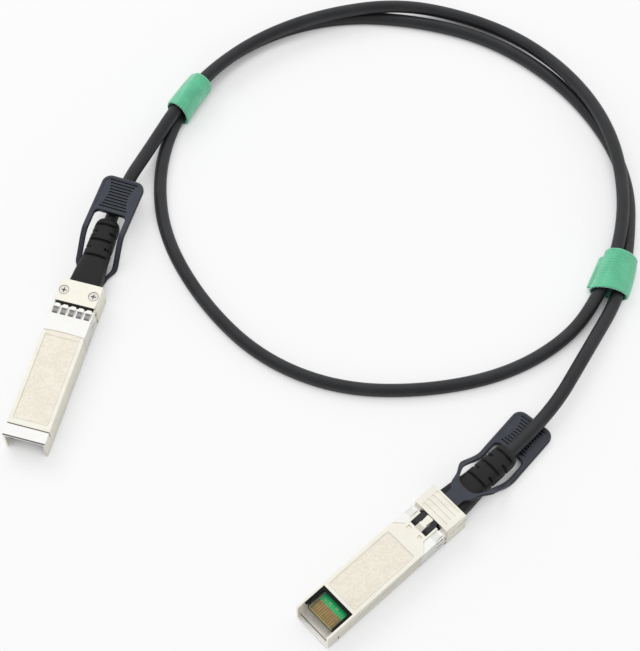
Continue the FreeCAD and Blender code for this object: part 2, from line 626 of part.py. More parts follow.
def crimp_ferrule(p):
    centre = (FERRULE, "0", "cable_height")
    ring = bar(p + "ferrule_outside", "x", centre, "ferrule_radius", "ferrule_length", 6)
    hole = rod(p + "ferrule_hole", "x", (f"{FERRULE} - 1", "0", "cable_height"), "core_radius + fit",
               "ferrule_length + 2")
    return cut(p + "ferrule", ring, hole)


def strain_relief_boot(p):
    radius = "cable_diameter / 2"
    flange = fuse(
        p + "boot_flange",
        box(p + "flange_wide", ("shell_length + 0.1", HOOD_START + " - 0.05"), span("flange_width / 2"),
            ("hood_parting + 0.1", "flange_top")),
        box(p + "flange_narrow", ("shell_length + 0.1", HOOD_START), span("head_width / 2"),
            (TAB_ROOM, "hood_parting + 0.2")))
    head = box(p + "boot_head", ("shell_length + 0.15", f"{PLUG_END} + 0.1"), span("head_width / 2"),
               ("head_bottom", "head_top"))
    stations = [(PLUG_END, "boot_base"), (WAIST, "boot_waist"), (NECK, "boot_neck"), (BOOT_END, "boot_tip")]
    sleeve = loft(p + "boot_sleeve", [
        eased(f"{p}{size}_section", f"{size}_width / 2", f"{size}_height / 2", "boot_round", at)
        for at, size in stations])
    cuts = [rod(p + "boot_bore", "x", ("shell_length", "0", "cable_height"), radius + " + fit",
                f"{BOOT_END} - shell_length + 1")]
    for number in range(3):
        at = f"{RIBS} + {number} * rib_pitch"
        along = (f"{at} - rib_groove / 2", f"{at} + rib_groove / 2")
        cuts.append(box(f"{p}groove_over_{number}", along, span("boot_base_width"),
                        (f"cable_height + {radius} + rib_skin", "2 * shell_height")))
        cuts.append(box(f"{p}groove_under_{number}", along, span("boot_base_width"),
                        ("-shell_height", f"cable_height - {radius} - rib_skin")))
    for number in range(2):
        at = f"{RIBS} + ({number} + 0.5) * rib_pitch"
        along = (f"{at} - rib_groove / 2", f"{at} + rib_groove / 2")
        cuts.append(pair(f"{p}side_grooves_{number}", box(
            f"{p}side_groove_{number}", along, (f"{radius} + rib_side_skin", "boot_base_width"),
            ("-shell_height", "2 * shell_height"))))
    return cut(p + "boot", fuse(p + "boot_solid", flange, head, sleeve), *cuts)


def pull_tab(p, bend):
    """Fork, stem, straps and grip plate; the plate part is turned a little about the straps' top."""
    climb = [(0, 0), (0.2, 0.08), (0.4, 0.32), (0.6, 0.68), (0.8, 0.92), (1, 1)]
    low = [(f"{RAMP} + 0.4 + {share} * ramp_length", f"tab_lift + {rise} * (plate_bottom - tab_lift)")
           for share, rise in climb]
    high = [(f"{RAMP} - 0.5 + {share} * ramp_length",
             f"{TAB_HIGH} + {rise} * (plate_bottom + plate - {TAB_HIGH})")
            for share, rise in climb]
    side = ([(f"{SLOT} + 0.3", "tab_lift")] + low + [(f"{RAMP_END} + 2", "plate_bottom"),
            (f"{RAMP_END} + 2", "plate_bottom + plate")] + high[::-1] + [(f"{SLOT} + 0.3", TAB_HIGH)])
    half = [("shell_length + 0.3", "stem_width / 2"), (f"{WINDOW} - 3.6", "stem_width / 2"),
            (f"{WINDOW} - 2.3", "stem_width / 2 + 1.1"), (f"{WINDOW} + 1.2", "strap_reach - 2.05"),
            (f"{WINDOW} + 2.9", "strap_reach - 0.75"), (f"{WINDOW} + 5", "strap_reach"),
            (f"{RAMP_END} + 0.9", "strap_reach")]
    plan = prism(p + "tab_plan", "xy", half + [(x, f"-({y})") for x, y in reversed(half)],
                 "-1", "2 * shell_height")
    inner = "(strap_reach - strap_width)"
    window = fuse(p + "front_window",
                  rod(p + "window_round", "z", (f"{WINDOW} + {inner}", "0", "-1"), inner, "20"),
                  box(p + "window_front_box", (f"{WINDOW} + {inner}", WINDOW_END), span(inner), ("-1", "19")))
    front = cut(p + "tab_front", common(p + "tab_strip", plan, prism(p + "tab_side", "xz", side,
                                                                      *span("shell_width"))), window)
    tines = pair(p + "tab_tines", prism(p + "tab_tine", "xz", [
        (f"{SLOT} + 0.3", "tab_lift + 0.35"), (f"{SLOT} + 1.2", "tab_lift"),
        ("shell_length + 0.5", "tab_lift"), ("shell_length + 0.5", TAB_HIGH),
        (f"{SLOT} + 0.3", TAB_HIGH)], "slot_inner + tab_play", "slot_outer - tab_play"))
    ears = box(p + "tab_ears", (EAR, f"{EAR} + ear"), span("ear_reach"), ("tab_lift", TAB_HIGH))
    plate = [drawn(p + "plate_block", rounded(p + "plate_outline", "xy", f"{RAMP_END} - 5", TAB_END,
                                              "-strap_reach", "strap_reach", "tab_corner", "plate_bottom"),
                   "plate")]
    keep = box(p + "plate_keep", (RAMP_END, f"{TAB_END} + 1"), span("shell_width"), ("0", "2 * shell_height"))
    opening = drawn(p + "plate_opening", rounded(p + "opening_outline", "xy", f"{RAMP_END} - 5", WINDOW_END,
                                                 f"-{inner}", inner, "1.0", "0"), "2 * shell_height")
    web = (f"{WINDOW_END} + 0.8", f"{TAB_END} - 0.9")
    over = box(p + "web_over", web, span("strap_reach - 1.0"),
               ("plate_bottom + plate - rim", "2 * shell_height"))
    under = box(p + "web_under", web, span("strap_reach - 1.0"), ("0", "plate_bottom + rim"))
    grips = []
    for number in range(int(value("ridge_count"))):
        at = f"({WINDOW_END} + {TAB_END}) / 2 + ({number} - (ridge_count - 1) / 2) * ridge_pitch"
        along = (f"{at} - ridge_width / 2", f"{at} + ridge_width / 2")
        reach = f"ridge_reach - (1 - (({number} * 2 / (ridge_count - 1)) - 1)^2) * ridge_waist"
        grips.append(box(f"{p}ridge_over_{number}", along, span(reach),
                         ("plate_bottom + plate - rim - ridge_depth", "2 * shell_height")))
        grips.append(box(f"{p}ridge_under_{number}", along, span(reach),
                         ("0", "plate_bottom + rim + ridge_depth")))
    rear = cut(p + "tab_rear", common(p + "plate_kept", plate[0], keep), opening, over, under, *grips)
    turn = doc.addObject("Part::Compound", p + "tab_turned")
    turn.Links = [rear]
    bind(turn, Placement__Rotation__Angle=bend,
         Placement__Base__x=f"{RAMP_END} * (1 - cos({bend} * 1deg))",
         Placement__Base__y=f"-{RAMP_END} * sin({bend} * 1deg)")
    return fuse(p + "tab", front, tines, ears, turn)


def return_springs(p):
    """Two zigzag strips between the tab's ears and the end of their pockets."""
    bends = 6
    step = f"(({SPRING_ROOM} - spring_strip) / {bends})"
    near, far = "(stem_width / 2 + tab_play + 0.1)", "(ear_reach - 0.05)"
    leaves = []
    for number in range(bends):
        ends = (near, far) if number % 2 else (far, near)
        start = f"{EAR} + ear + {number} * {step}"
        leaves.append(prism(f"{p}spring_leaf_{number}", "xy", [
            (start, ends[0]), (f"{start} + spring_strip", ends[0]),
            (f"{start} + {step} + spring_strip", ends[1]), (f"{start} + {step}", ends[1])],
            "tab_lift + 0.05", TAB_HIGH + " - 0.05"))
    strip = fuse(p + "spring_strip", *leaves)
    return compound(p + "springs", [strip, mirrored(p + "spring_twin", strip)])


def cable_entry(p):
    """The cable inside the boot, and its braided core inside the ferrule."""
    jacket = rod(p + "entry_jacket", "x", ("shell_length + 0.1", "0", "cable_height"), "cable_diameter / 2",
                 f"{BOOT_END} - shell_length - 0.1")
    core = rod(p + "entry_core", "x", (FERRULE, "0", "cable_height"), "core_radius",
               f"shell_length + 0.2 - {FERRULE}")
    return fuse(p + "entry", jacket, core)


# ---------------------------------------------------------------- both plugs, placed

PIECES = {
    "lower_shell": lower_shell, "upper_shell": upper_shell, "rear_cover": rear_cover,
    "cover_screws": cover_screws, "emi_collar": emi_collar, "paddle_card": paddle_card,
    "contact_pads": contact_pads, "card_components": card_components, "signal_wires": signal_wires,
    "crimp_ferrule": crimp_ferrule, "strain_relief_boot": strain_relief_boot,
    "return_springs": return_springs,
}

# where each plug's host end is, which way it points and how far it is rolled over
SECOND_HEADING = 58.296
BOOT_TIP = Vector(value(BOOT_END), 0, value("cable_height"))
STEP = value("route_step")
RING = Vector(0, value(BOOT_END) - value(SCREW_X), 0)
SECOND_TIP = RING + Vector(142.24, -44.45, 0) * STEP


def laid(turn, tip, height):
    """The place of a plug frame that puts the boot's tip over a point, at a height of its z = 0."""
    reach = turn.multVec(BOOT_TIP)
    return Placement(Vector(tip.x - reach.x, tip.y - reach.y, height), turn)


PLUGS = {
    "plug_a": (laid(Rotation(Vector(0, 0, 1), 90), RING, value("hood_proud")), "tab_bend_a"),
    "plug_b": (laid(Rotation(Vector(0, 0, 1), SECOND_HEADING) * Rotation(Vector(1, 0, 0), 180),
                    SECOND_TIP, value(HOOD_HIGH)), "tab_bend_b"),
}

nodes = []
entries = []
for plug, (place, bend) in PLUGS.items():
    made = {name: build(plug + "_raw_") for name, build in PIECES.items()}
    made["pull_tab"] = pull_tab(plug + "_raw_", bend)
    for name, item in made.items():
        holder = compound(f"{plug}_{name}", [item])
        holder.Placement = place
        holder.Label = f"{plug}_{name}"
        nodes.append(holder)
    entry = compound(plug + "_cable_entry", [cable_entry(plug + "_raw_")])
    entry.Placement = place
    entries.append(entry)

# ---------------------------------------------------------------- the cable

# Corners of the cable's path between the two boots, in steps from the first boot's tip: across, along
# and how many cable diameters it is lifted. It leaves the first plug, runs clockwise over the lower
# turn to the right, round the whole ring and on under itself to the second plug.
ROUTE = [
    (4.2, 30.55, 0.83), (8.5, 48.55, 1.26), (16, 66.55, 1.24), (28, 83.05, 1.21),
    (45.5, 97.55, 1.12), (68, 109.05, 0.83), (91, 112.55, 0.05), (113.5, 107.35, 0.26),
    (134.2, 93.35, 1.05), (149, 76.55, 1.19), (157.5, 56.55, 1.1), (160.4, 36.55, 0.88),
    (158, 18.55, 0.21), (152, 0.55, 0), (136, -17.45, 0), (112.5, -29.95, 0), (86.5, -36.45, 0),
    (61, -32.95, 0), (38.5, -19.95, 0), (19, -0.45, 0), (9.5, 20.55, 0), (7.5, 41.55, 0.17),
    (12.4, 66.05, 0.19), (27, 86.55, 0), (49.5, 101.05, 0), (76, 106.55, 0), (102.5, 105.55, 0),
    (128, 95.05, 0), (147.5, 78.55, 0), (159, 60.05, 0), (163, 39.55, 0.17), (164, 19.05, 0.19),
    (158.2, -3.45, 0.6),
]


def on_axis(plug, distance):
    """A point on a plug's cable axis, beyond the tip of its boot."""
    return PLUGS[plug][0].multVec(BOOT_TIP + Vector(distance, 0, 0))


corners = [on_axis("plug_a", -value("cable_tuck")), on_axis("plug_a", value("lead_a"))]
for across, along, lift in ROUTE:
    flat = RING + Vector(across, along, 0) * STEP
    corners.append(flat + Vector(0, 0, (lift + 0.5) * value("cable_diameter")))
corners += [on_axis("plug_b", value("lead_b")), on_axis("plug_b", -value("cable_tuck"))]


def rounded_path(points):
    """Straight runs joined by tangent arcs; also the smallest arc radius."""
    runs = [after - before for before, after in zip(points, points[1:])]
    edges, radii, start = [], [], points[0]
    for corner, run, following in zip(points[1:], runs, runs[1:]):
        turn = run.getAngle(following)
        back = 0.45 * min(run.Length, following.Length)
        radii.append(back / math.tan(turn / 2))
        first = corner - Vector(run).normalize() * back
        last = corner + Vector(following).normalize() * back
        inward = Vector(first + last) * 0.5 - corner
        reach = radii[-1] / math.cos(turn / 2) - radii[-1]
        middle = corner + inward.normalize() * reach
        edges.append(Part.makeLine(start, first))
        edges.append(Part.Arc(first, middle, last).toShape())
        start = last
    edges.append(Part.makeLine(start, points[-1]))
    return Part.Wire(edges), radii


path, bend_radii = rounded_path(corners)
spine = doc.addObject("Part::Feature", "cable_path")
spine.Shape = path
section = doc.addObject("Part::Circle", "cable_section")
section.Placement = Placement(corners[0], Rotation(Vector(0, 0, 1), corners[1] - corners[0]))
bind(section, Radius="cable_diameter / 2")
run = doc.addObject("Part::Sweep", "cable_run")
run.Sections = [section]
run.Spine = (spine, [f"Edge{number}" for number in range(1, len(path.Edges) + 1)])
run.Solid = True
run.Frenet = False
cable = named(fuse("twinax_cable", run, *entries), "twinax_cable")
nodes.append(cable)

# ---------------------------------------------------------------- the two wraps


def strands_at(spot, turn):
    """Where the cable crosses the upright plane through a spot: (to the left, up) pairs."""
    found = []
    for edge in path.Edges:
        points = [turn.inverted().multVec(point - spot) for point in edge.discretize(9)]
        for before, after in zip(points, points[1:]):
            if before.x * after.x <= 0 and before.x != after.x and abs(before.y) < value("tie_length"):
                share = before.x / (before.x - after.x)
                found.append(before + (after - before) * share)
    return found


def wrap(name, middle, heading):
    """A closed band round the two strands that pass its middle, resting on the surface below."""
    turn = Rotation(Vector(0, 0, 1), heading)
    spot = RING + Vector(*middle, 0) * STEP
    room = "cable_diameter / 2 + tie_play + tie_wall"
    solids = []
    for tag, grow in (("outside", "0"), ("inside", "tie_wall")):
        sections = []
        for side in (-1, 1):
            strands = strands_at(spot + turn.multVec(Vector(side * value("tie_length") / 2, 0, 0)), turn)
            right, left = min(point.y for point in strands), max(point.y for point in strands)
            top = max(point.z for point in strands)
            beyond = "0" if grow == "0" else "0.01"
            sections.append(rounded(
                f"{name}_{tag}_{side + 1}", "yz", f"{right:.3f} - ({room}) + {grow}",
                f"{left:.3f} + {room} - {grow}", grow, f"{top:.3f} + {room} - {grow}",
                f"tie_corner - {grow}", f"{side} * (tie_length / 2 + {beyond})"))
        solids.append(loft(f"{name}_{tag}", sections))
    band = cut(f"{name}_band", *solids)
    band.Placement = Placement(spot, turn)
    return named(band, name)


nodes.append(wrap("cable_tie_left", (10.0, 53.05), 73.0))
nodes.append(wrap("cable_tie_right", (161.0, 25.55), 92.0))

# ---------------------------------------------------------------- checks and export

doc.recompute()
faults = [item.Name for item in doc.Objects
          if any(word in item.State for word in ("Invalid", "Error")) or not item.isValid()]
for item in nodes:
    shape = item.Shape
    if shape.isNull() or not shape.isValid() or not shape.Solids:
        faults.append(item.Label)
    print(f"{item.Label:28s} solids {len(shape.Solids):3d} faces {len(shape.Faces):4d} "
          f"volume {shape.Volume:9.2f}")
if faults:
    raise RuntimeError("not sound: " + ", ".join(faults))

area = math.pi * value("cable_diameter") ** 2 / 4
print(f"cable between the boots {path.Length:.1f} mm, smallest bend {min(bend_radii):.1f} mm,",
      "bends " + " ".join(f"{radius:.0f}" for radius in bend_radii))
print(f"tube volume {run.Shape.Volume:.0f} mm3, section x length {area * path.Length:.0f} mm3")
if abs(run.Shape.Volume / (area * path.Length) - 1) > 0.01:
    raise RuntimeError("the cable's tube is not whole")

os.makedirs("parts", exist_ok=True)
for item in nodes:
    item.Shape.exportStep(f"parts/{item.Label}.step")
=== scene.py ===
"""A direct attach copper cable: two pluggable modules joined by a coiled twinaxial cable."""
import json
import math

import bmesh
import bpy
from mathutils import Matrix, Vector


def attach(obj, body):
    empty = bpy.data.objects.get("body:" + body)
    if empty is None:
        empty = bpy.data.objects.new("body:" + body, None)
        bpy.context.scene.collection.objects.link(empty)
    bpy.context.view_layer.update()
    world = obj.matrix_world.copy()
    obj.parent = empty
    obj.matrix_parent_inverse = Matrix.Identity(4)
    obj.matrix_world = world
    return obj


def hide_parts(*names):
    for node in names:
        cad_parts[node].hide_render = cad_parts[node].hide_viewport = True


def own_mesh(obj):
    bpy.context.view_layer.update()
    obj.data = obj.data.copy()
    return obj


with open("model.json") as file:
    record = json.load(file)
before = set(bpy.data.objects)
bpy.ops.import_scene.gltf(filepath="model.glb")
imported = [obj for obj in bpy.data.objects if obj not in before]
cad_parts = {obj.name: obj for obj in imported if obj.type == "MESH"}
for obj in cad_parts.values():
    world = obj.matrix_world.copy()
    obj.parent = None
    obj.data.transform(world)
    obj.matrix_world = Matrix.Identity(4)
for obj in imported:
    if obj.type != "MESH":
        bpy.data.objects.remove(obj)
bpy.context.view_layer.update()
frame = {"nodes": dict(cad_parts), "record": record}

bl_info = {
    "name": "Direct attach cable",
    "version": (1, 0, 0),
    "blender": (4, 5, 0),
    "location": "View3D > Sidebar > Cable",
    "description": "Dresses the packed cable: jacket, wraps, shells, collars, boots, pull tabs and cards",
    "category": "Object",
}

PLUGS = ("plug_a", "plug_b")
MM = 0.001
DOUBLED = 0.002 * MM    # corners that lie closer than this are one corner
FINGER_PITCH = 2.6      # spacing of the collar's spring fingers, in millimetres

# The cable's route from one boot to the other, on the floor and over its own turns.
ROUTE = [
    (0.0, 0.02545, 0.0048), (0.0, 0.0430, 0.0048), (0.0042, 0.0600, 0.0056), (0.0085, 0.0780, 0.0074),
    (0.0160, 0.0960, 0.0073), (0.0280, 0.1125, 0.0072), (0.0455, 0.1270, 0.0068), (0.0680, 0.1385, 0.0056),
    (0.0910, 0.1420, 0.0023), (0.1135, 0.1368, 0.0032), (0.1342, 0.1228, 0.0065), (0.1490, 0.1060, 0.0071),
    (0.1575, 0.0860, 0.0067), (0.1604, 0.0660, 0.0058), (0.1580, 0.0480, 0.0030), (0.1520, 0.0300, 0.0021),
    (0.1360, 0.0120, 0.0021), (0.1125, -0.0005, 0.0021), (0.0865, -0.0070, 0.0021), (0.0610, -0.0035, 0.0021),
    (0.0385, 0.0095, 0.0021), (0.0190, 0.0290, 0.0021), (0.0095, 0.0500, 0.0021), (0.0075, 0.0710, 0.0028),
    (0.0124, 0.0955, 0.0029), (0.0270, 0.1160, 0.0021), (0.0495, 0.1305, 0.0021), (0.0760, 0.1360, 0.0021),
    (0.1025, 0.1350, 0.0021), (0.1280, 0.1245, 0.0021), (0.1475, 0.1080, 0.0021), (0.1590, 0.0895, 0.0021),
    (0.1630, 0.0690, 0.0028), (0.1640, 0.0485, 0.0029), (0.1582, 0.0260, 0.0046), (0.15102, -0.00079, 0.0046),
    (0.14014, -0.01840, 0.0046),
]


# ---------------------------------------------------------------- sizes and colours


def metres(name, note, default, precision=4):
    return bpy.props.FloatProperty(name=name, description=note, default=default, unit="LENGTH",
                                   precision=precision)


def floor_spot(name, note, *default):
    return bpy.props.FloatVectorProperty(name=name, description=note, size=2, default=default,
                                         unit="LENGTH", precision=4)


def point(name, note, *default):
    return bpy.props.FloatVectorProperty(name=name, description=note, size=3, default=default,
                                         subtype="TRANSLATION", precision=5)


def bearing(name, note, degrees, precision=2):
    return bpy.props.FloatProperty(name=name, description=note, default=math.radians(degrees),
                                   subtype="ANGLE", precision=precision)


def colour(name, note, red, green, blue):
    return bpy.props.FloatVectorProperty(name=name, description=note, subtype="COLOR", size=3,
                                         min=0.0, max=1.0, default=(red, green, blue))


class CableSizes(bpy.types.PropertyGroup):
    diameter: metres("Diameter", "Outside diameter of the jacket", 0.0042)
    length: metres("Free length", "Cable between the points inside the boots", 0.828, 3)


class WrapSizes(bpy.types.PropertyGroup):
    left: floor_spot("Left wrap", "Middle of the left wrap on the floor", 0.0100, 0.0825)
    left_heading: bearing("Left heading", "Direction of the left wrap's axis", 73.0)
    right: floor_spot("Right wrap", "Middle of the right wrap on the floor", 0.1610, 0.0550)
    right_heading: bearing("Right heading", "Direction of the right wrap's axis", 92.0)
    width: metres("Width", "Width of the tape along the cable", 0.0141)
    thickness: metres("Thickness", "Thickness of the tape", 0.0006)
    slack: metres("Slack", "Room between the tape and the strands", 0.0009)
    row_pitch: metres("Row pitch", "Spacing of the woven rows round the wrap", 0.0010, 5)


class TabSizes(bpy.types.PropertyGroup):
    stem_length: metres("Stem", "Back of the hood to the window", 0.0063)
    window_length: metres("Window", "Length of the window over the boot", 0.0207)
    plate_length: metres("Plate", "Length of the grip plate", 0.0135)
    half_width: metres("Half width", "Middle to the outside of the straps", 0.00705, 5)
    strap_width: metres("Strap", "Width of a strap", 0.0018)
    stem_width: metres("Stem width", "Width of the stem in the hood", 0.0056)


class FinishColours(bpy.types.PropertyGroup):
    nickel: colour("Nickel", "Plating on the cast shells and hood", 0.960, 0.945, 0.850)
    panel: colour("Label panel", "Finer plating inside the engraved panels", 1.000, 0.940, 0.810)
    tin: colour("Collar", "Bright sheet of the collars", 0.970, 0.965, 0.940)
    steel: colour("Screws", "Screws and return springs", 0.62, 0.60, 0.56)
    jacket: colour("Jacket", "Cable jacket", 0.012, 0.0125, 0.0145)
    rubber: colour("Boot", "Strain relief boots", 0.006, 0.006, 0.0065)
    tab: colour("Pull tab", "Moulded pull tabs", 0.013, 0.015, 0.024)
    tape: colour("Wraps", "Hook-and-loop tape", 0.135, 0.600, 0.345)
    mask: colour("Solder mask", "Paddle cards", 0.014, 0.420, 0.125)
    gold: colour("Gold", "Contacts", 0.38, 0.25, 0.11)
    floor: colour("Floor", "Surface the cable lies on", 0.950, 0.950, 0.955)


class StageSettings(bpy.types.PropertyGroup):
    eye: point("Camera", "Place of the camera", 0.14723, -0.25800, 0.53872)
    aim: point("Aim", "Point that the camera looks at", 0.07476, 0.01379, 0.00045)
    roll: bearing("Roll", "Turn of the camera about its view", 0.5623, 4)
    lens: bpy.props.FloatProperty(name="Lens", description="Focal length in millimetres", default=106.17)
    sky: bpy.props.FloatProperty(name="Surround", description="Strength of the even light all round",
                                 default=0.72, min=0.0)
    lamp: bpy.props.FloatProperty(name="Lamp", description="Power of the large soft lamp, in watts",
                                  default=20.0, min=0.0)


def sizes():
    return bpy.context.scene.cable_sizes


def finishes():
    return bpy.context.scene.finish_colours


# ---------------------------------------------------------------- shader nodes


def fill(tree, item, values):
    """Links each value that is a socket to a node's input, and sets any other value there."""
    for key, entry in values.items():
        if isinstance(entry, bpy.types.NodeSocket):
            tree.links.new(entry, item.inputs[key])
        else:
            item.inputs[key].default_value = entry
    return item


def add(tree, kind, values=None, **settings):
    """A new node with its settings and its inputs."""
    item = tree.nodes.new(kind)
    for key, entry in settings.items():
        setattr(item, key, entry)
    return fill(tree, item, values or {})


def maths(tree, operation, first, second=0.0, third=0.0):
    return add(tree, "ShaderNodeMath", {0: first, 1: second, 2: third}, operation=operation).outputs[0]


def times(tree, first, *others):
    """The product of two values or more."""
    for other in others:
        first = maths(tree, "MULTIPLY", first, other)
    return first


def swayed(tree, level, mask, amount):
    """A level that a mask moves by an amount."""
    return maths(tree, "MULTIPLY_ADD", mask, amount, level)


def spread(tree, value, low, high, start=0.0, end=1.0, smooth=False):
    """A value carried from low..high to start..end, and held there."""
    return add(tree, "ShaderNodeMapRange", {0: value, 1: low, 2: high, 3: start, 4: end},
               interpolation_type="SMOOTHSTEP" if smooth else "LINEAR").outputs[0]


def band(tree, value, middle, half, soft):
    """1 where a value is within half of a middle, falling to 0 over a soft edge."""
    away = maths(tree, "ABSOLUTE", maths(tree, "SUBTRACT", value, middle))
    return spread(tree, away, half + soft, half)


def mixed(tree, factor, first, second):
    return add(tree, "ShaderNodeMix", {0: factor, 6: first, 7: second}, data_type="RGBA").outputs[2]


def tinted(shade, factor=1.0):
    return (shade[0] * factor, shade[1] * factor, shade[2] * factor, 1.0)


def noise(tree, where, scale, **entries):
    return add(tree, "ShaderNodeTexNoise", {"Vector": where, "Scale": scale, **entries}).outputs[0]


def cells(tree, where, scale, **entries):
    values = {"Vector": where, "Scale": scale, **entries}
    return add(tree, "ShaderNodeTexVoronoi", values).outputs["Distance"]


def moved(tree, where, **entries):
    return add(tree, "ShaderNodeMapping", {"Vector": where, **entries}).outputs[0]


def split(tree, where):
    """The three coordinates of a place."""
    return tuple(add(tree, "ShaderNodeSeparateXYZ", {"Vector": where}).outputs)


def object_space(tree):
    return add(tree, "ShaderNodeTexCoord").outputs["Object"]


def effect(name, inputs, outputs, build):
    """A shader node group, built once: build(tree, sockets in) returns its outputs in order."""
    tree = bpy.data.node_groups.get(name)
    if tree is None:
        tree = bpy.data.node_groups.new(name, "ShaderNodeTree")
        for label, kind, start in inputs:
            socket = tree.interface.new_socket(label, in_out="INPUT", socket_type=kind)
            if start is not None:
                socket.default_value = start
        for label, kind in outputs:
            tree.interface.new_socket(label, in_out="OUTPUT", socket_type=kind)
        way_in, way_out = tree.nodes.new("NodeGroupInput"), tree.nodes.new("NodeGroupOutput")
        for index, result in enumerate(build(tree, {socket.name: socket for socket in way_in.outputs})):
            tree.links.new(result, way_out.inputs[index])
    return tree


def placed(tree, group, **entries):
    """A group's outputs where a material uses it; an underscore in a name stands for a space."""
    values = {key.replace("_", " "): entry for key, entry in entries.items()}
    return tuple(add(tree, "ShaderNodeGroup", values, node_tree=group).outputs)


VALUE, VECTOR = "NodeSocketFloat", "NodeSocketVector"


def fine_grain():
    """Cast, moulded or extruded surface: a fine uneven height and a slow mottle."""
    def build(tree, way):
        where, scale, pits = way["Vector"], way["Scale"], way["Pits"]
        slow = noise(tree, where, times(tree, scale, 0.12), Detail=3.0)
        pit = spread(tree, cells(tree, where, scale), 0.05, 0.3)
        pit = swayed(tree, maths(tree, "SUBTRACT", 1.0, pits), pit, pits)
        height = times(tree, noise(tree, where, scale, Detail=4.0), pit)
        return height, spread(tree, slow, 0.35, 0.65, smooth=True)
    return effect("Fine grain", [("Vector", VECTOR, None), ("Scale", VALUE, 2500.0), ("Pits", VALUE, 0.3)],
                  [("Height", VALUE), ("Mottle", VALUE)], build)


def handling_wear():
    """Finger smudges and fine scratches that run along the plug."""
    def build(tree, way):
        where, scale = way["Vector"], way["Scale"]
        smudge = noise(tree, where, scale, Detail=5.0, Roughness=0.6, Distortion=1.2)
        lines = noise(tree, moved(tree, where, Scale=(0.035, 1.0, 1.0)), times(tree, scale, 34.0), Detail=2.0)
        patch = spread(tree, noise(tree, where, scale), 0.5, 0.62, smooth=True)
        scratch = times(tree, spread(tree, lines, 0.62, 0.72), patch)
        return spread(tree, smudge, 0.42, 0.66, smooth=True), scratch
    return effect("Handling wear", [("Vector", VECTOR, None), ("Scale", VALUE, 120.0)],
                  [("Smudges", VALUE), ("Scratches", VALUE)], build)


def board_pattern():
    """Copper tracks, through-plated holes and weave of the laminate under the solder mask."""
    wander, track_room, weave_turns = 1.8 * MM, 0.4 * MM, 9000.0

    def build(tree, way):
        along, across, _ = split(tree, way["Vector"])
        bend = noise(tree, way["Vector"], 160.0, Detail=0.0)
        track = maths(tree, "PINGPONG", swayed(tree, across, bend, wander), track_room)
        track = spread(tree, track, 0.16 * MM, 0.20 * MM)
        hole = spread(tree, cells(tree, way["Vector"], 520.0, Randomness=0.75), 0.22, 0.17)
        threads = [maths(tree, "SINE", times(tree, part, weave_turns)) for part in (along, across)]
        return track, hole, spread(tree, times(tree, *threads), -1.0, 1.0)
    return effect("Board pattern", [("Vector", VECTOR, None)],
                  [("Tracks", VALUE), ("Holes", VALUE), ("Weave", VALUE)], build)


def framed_line():
    """A thin line round a rectangle with eased corners, and the area inside it."""
    def build(tree, way):
        over = []
        for part, half in zip(split(tree, way["Vector"]), ("Half length", "Half width")):
            corner = maths(tree, "SUBTRACT", way[half], way["Corner"])
            over.append(maths(tree, "SUBTRACT", maths(tree, "ABSOLUTE", part), corner))
        held = [maths(tree, "MAXIMUM", entry, 0.0) for entry in over]
        outer = maths(tree, "SQRT", maths(tree, "ADD", times(tree, held[0], held[0]),
                                          times(tree, held[1], held[1])))
        inner = maths(tree, "MINIMUM", maths(tree, "MAXIMUM", *over), 0.0)
        edge = maths(tree, "SUBTRACT", maths(tree, "ADD", outer, inner), way["Corner"])
        line = maths(tree, "DIVIDE", maths(tree, "ABSOLUTE", edge), way["Line"])
        return spread(tree, line, 1.0, 0.55), spread(tree, edge, 0.0, -0.1 * MM)
    return effect("Framed line", [("Vector", VECTOR, None), ("Half length", VALUE, 18 * MM),
                                  ("Half width", VALUE, 5.5 * MM), ("Corner", VALUE, 0.6 * MM),
                                  ("Line", VALUE, 0.16 * MM)],
                  [("Line", VALUE), ("Inside", VALUE)], build)


def grained(tree, where, scale, pits):
    """Height and mottle of the fine grain."""
    return placed(tree, fine_grain(), Vector=where, Scale=scale, Pits=pits)


def worn(tree, where, scale):
    """Smudges and scratches of handling."""
    return placed(tree, handling_wear(), Vector=where, Scale=scale)


def material(name):
    """A new material and its tree, emptied but for the surface shader."""
    item = bpy.data.materials.new(name)
    item.use_nodes = True
    tree = item.node_tree
    tree.nodes.clear()
    way_out = tree.nodes.new("ShaderNodeOutputMaterial")
    shader = tree.nodes.new("ShaderNodeBsdfPrincipled")
    tree.links.new(shader.outputs[0], way_out.inputs["Surface"])
    return item, tree, shader


def feed(tree, shader, **entries):
    """Sets or links the shader's inputs; an underscore in a name stands for a space."""
    fill(tree, shader, {key.replace("_", " "): entry for key, entry in entries.items()})


def bump(tree, shader, height, distance):
    item = add(tree, "ShaderNodeBump", {"Height": height, "Distance": distance, "Strength": 1.0})
    tree.links.new(item.outputs[0], shader.inputs["Normal"])


# ---------------------------------------------------------------- where the plugs are


def plug_frame(plug):
    """A plug's own frame: from the middle of its host end, x along the plug, z out of its screwed side."""
    mount = next(entry for entry in frame["record"]["mounts"] if entry["name"] == plug + "_nose")
    along = -Vector(mount["axis"])
    up = Vector((0, 0, 1)) if plug == "plug_a" else Vector((0, 0, -1))
    across = up.cross(along)
    turn = Matrix((along, across, up)).transposed().to_4x4()
    return Matrix.Translation(Vector(mount["pos_m"])) @ turn


def reach(plug, part):
    """Lowest and highest corner of a CAD node in its plug's own frame, in millimetres."""
    inverse = plug_frame(plug).inverted()
    spots = [inverse @ vertex.co / MM for vertex in frame["nodes"][f"{plug}_{part}"].data.vertices]
    return tuple(Vector([pick(spot[axis] for spot in spots) for axis in range(3)]) for pick in (min, max))


def plug_space(tree, plug):
    """Coordinates in the plug's own frame, in metres together and in millimetres one by one."""
    inverse = plug_frame(plug).inverted()
    where = moved(tree, object_space(tree), Location=inverse.to_translation(), Rotation=inverse.to_euler())
    return (where, *(times(tree, part, 1 / MM) for part in split(tree, where)))


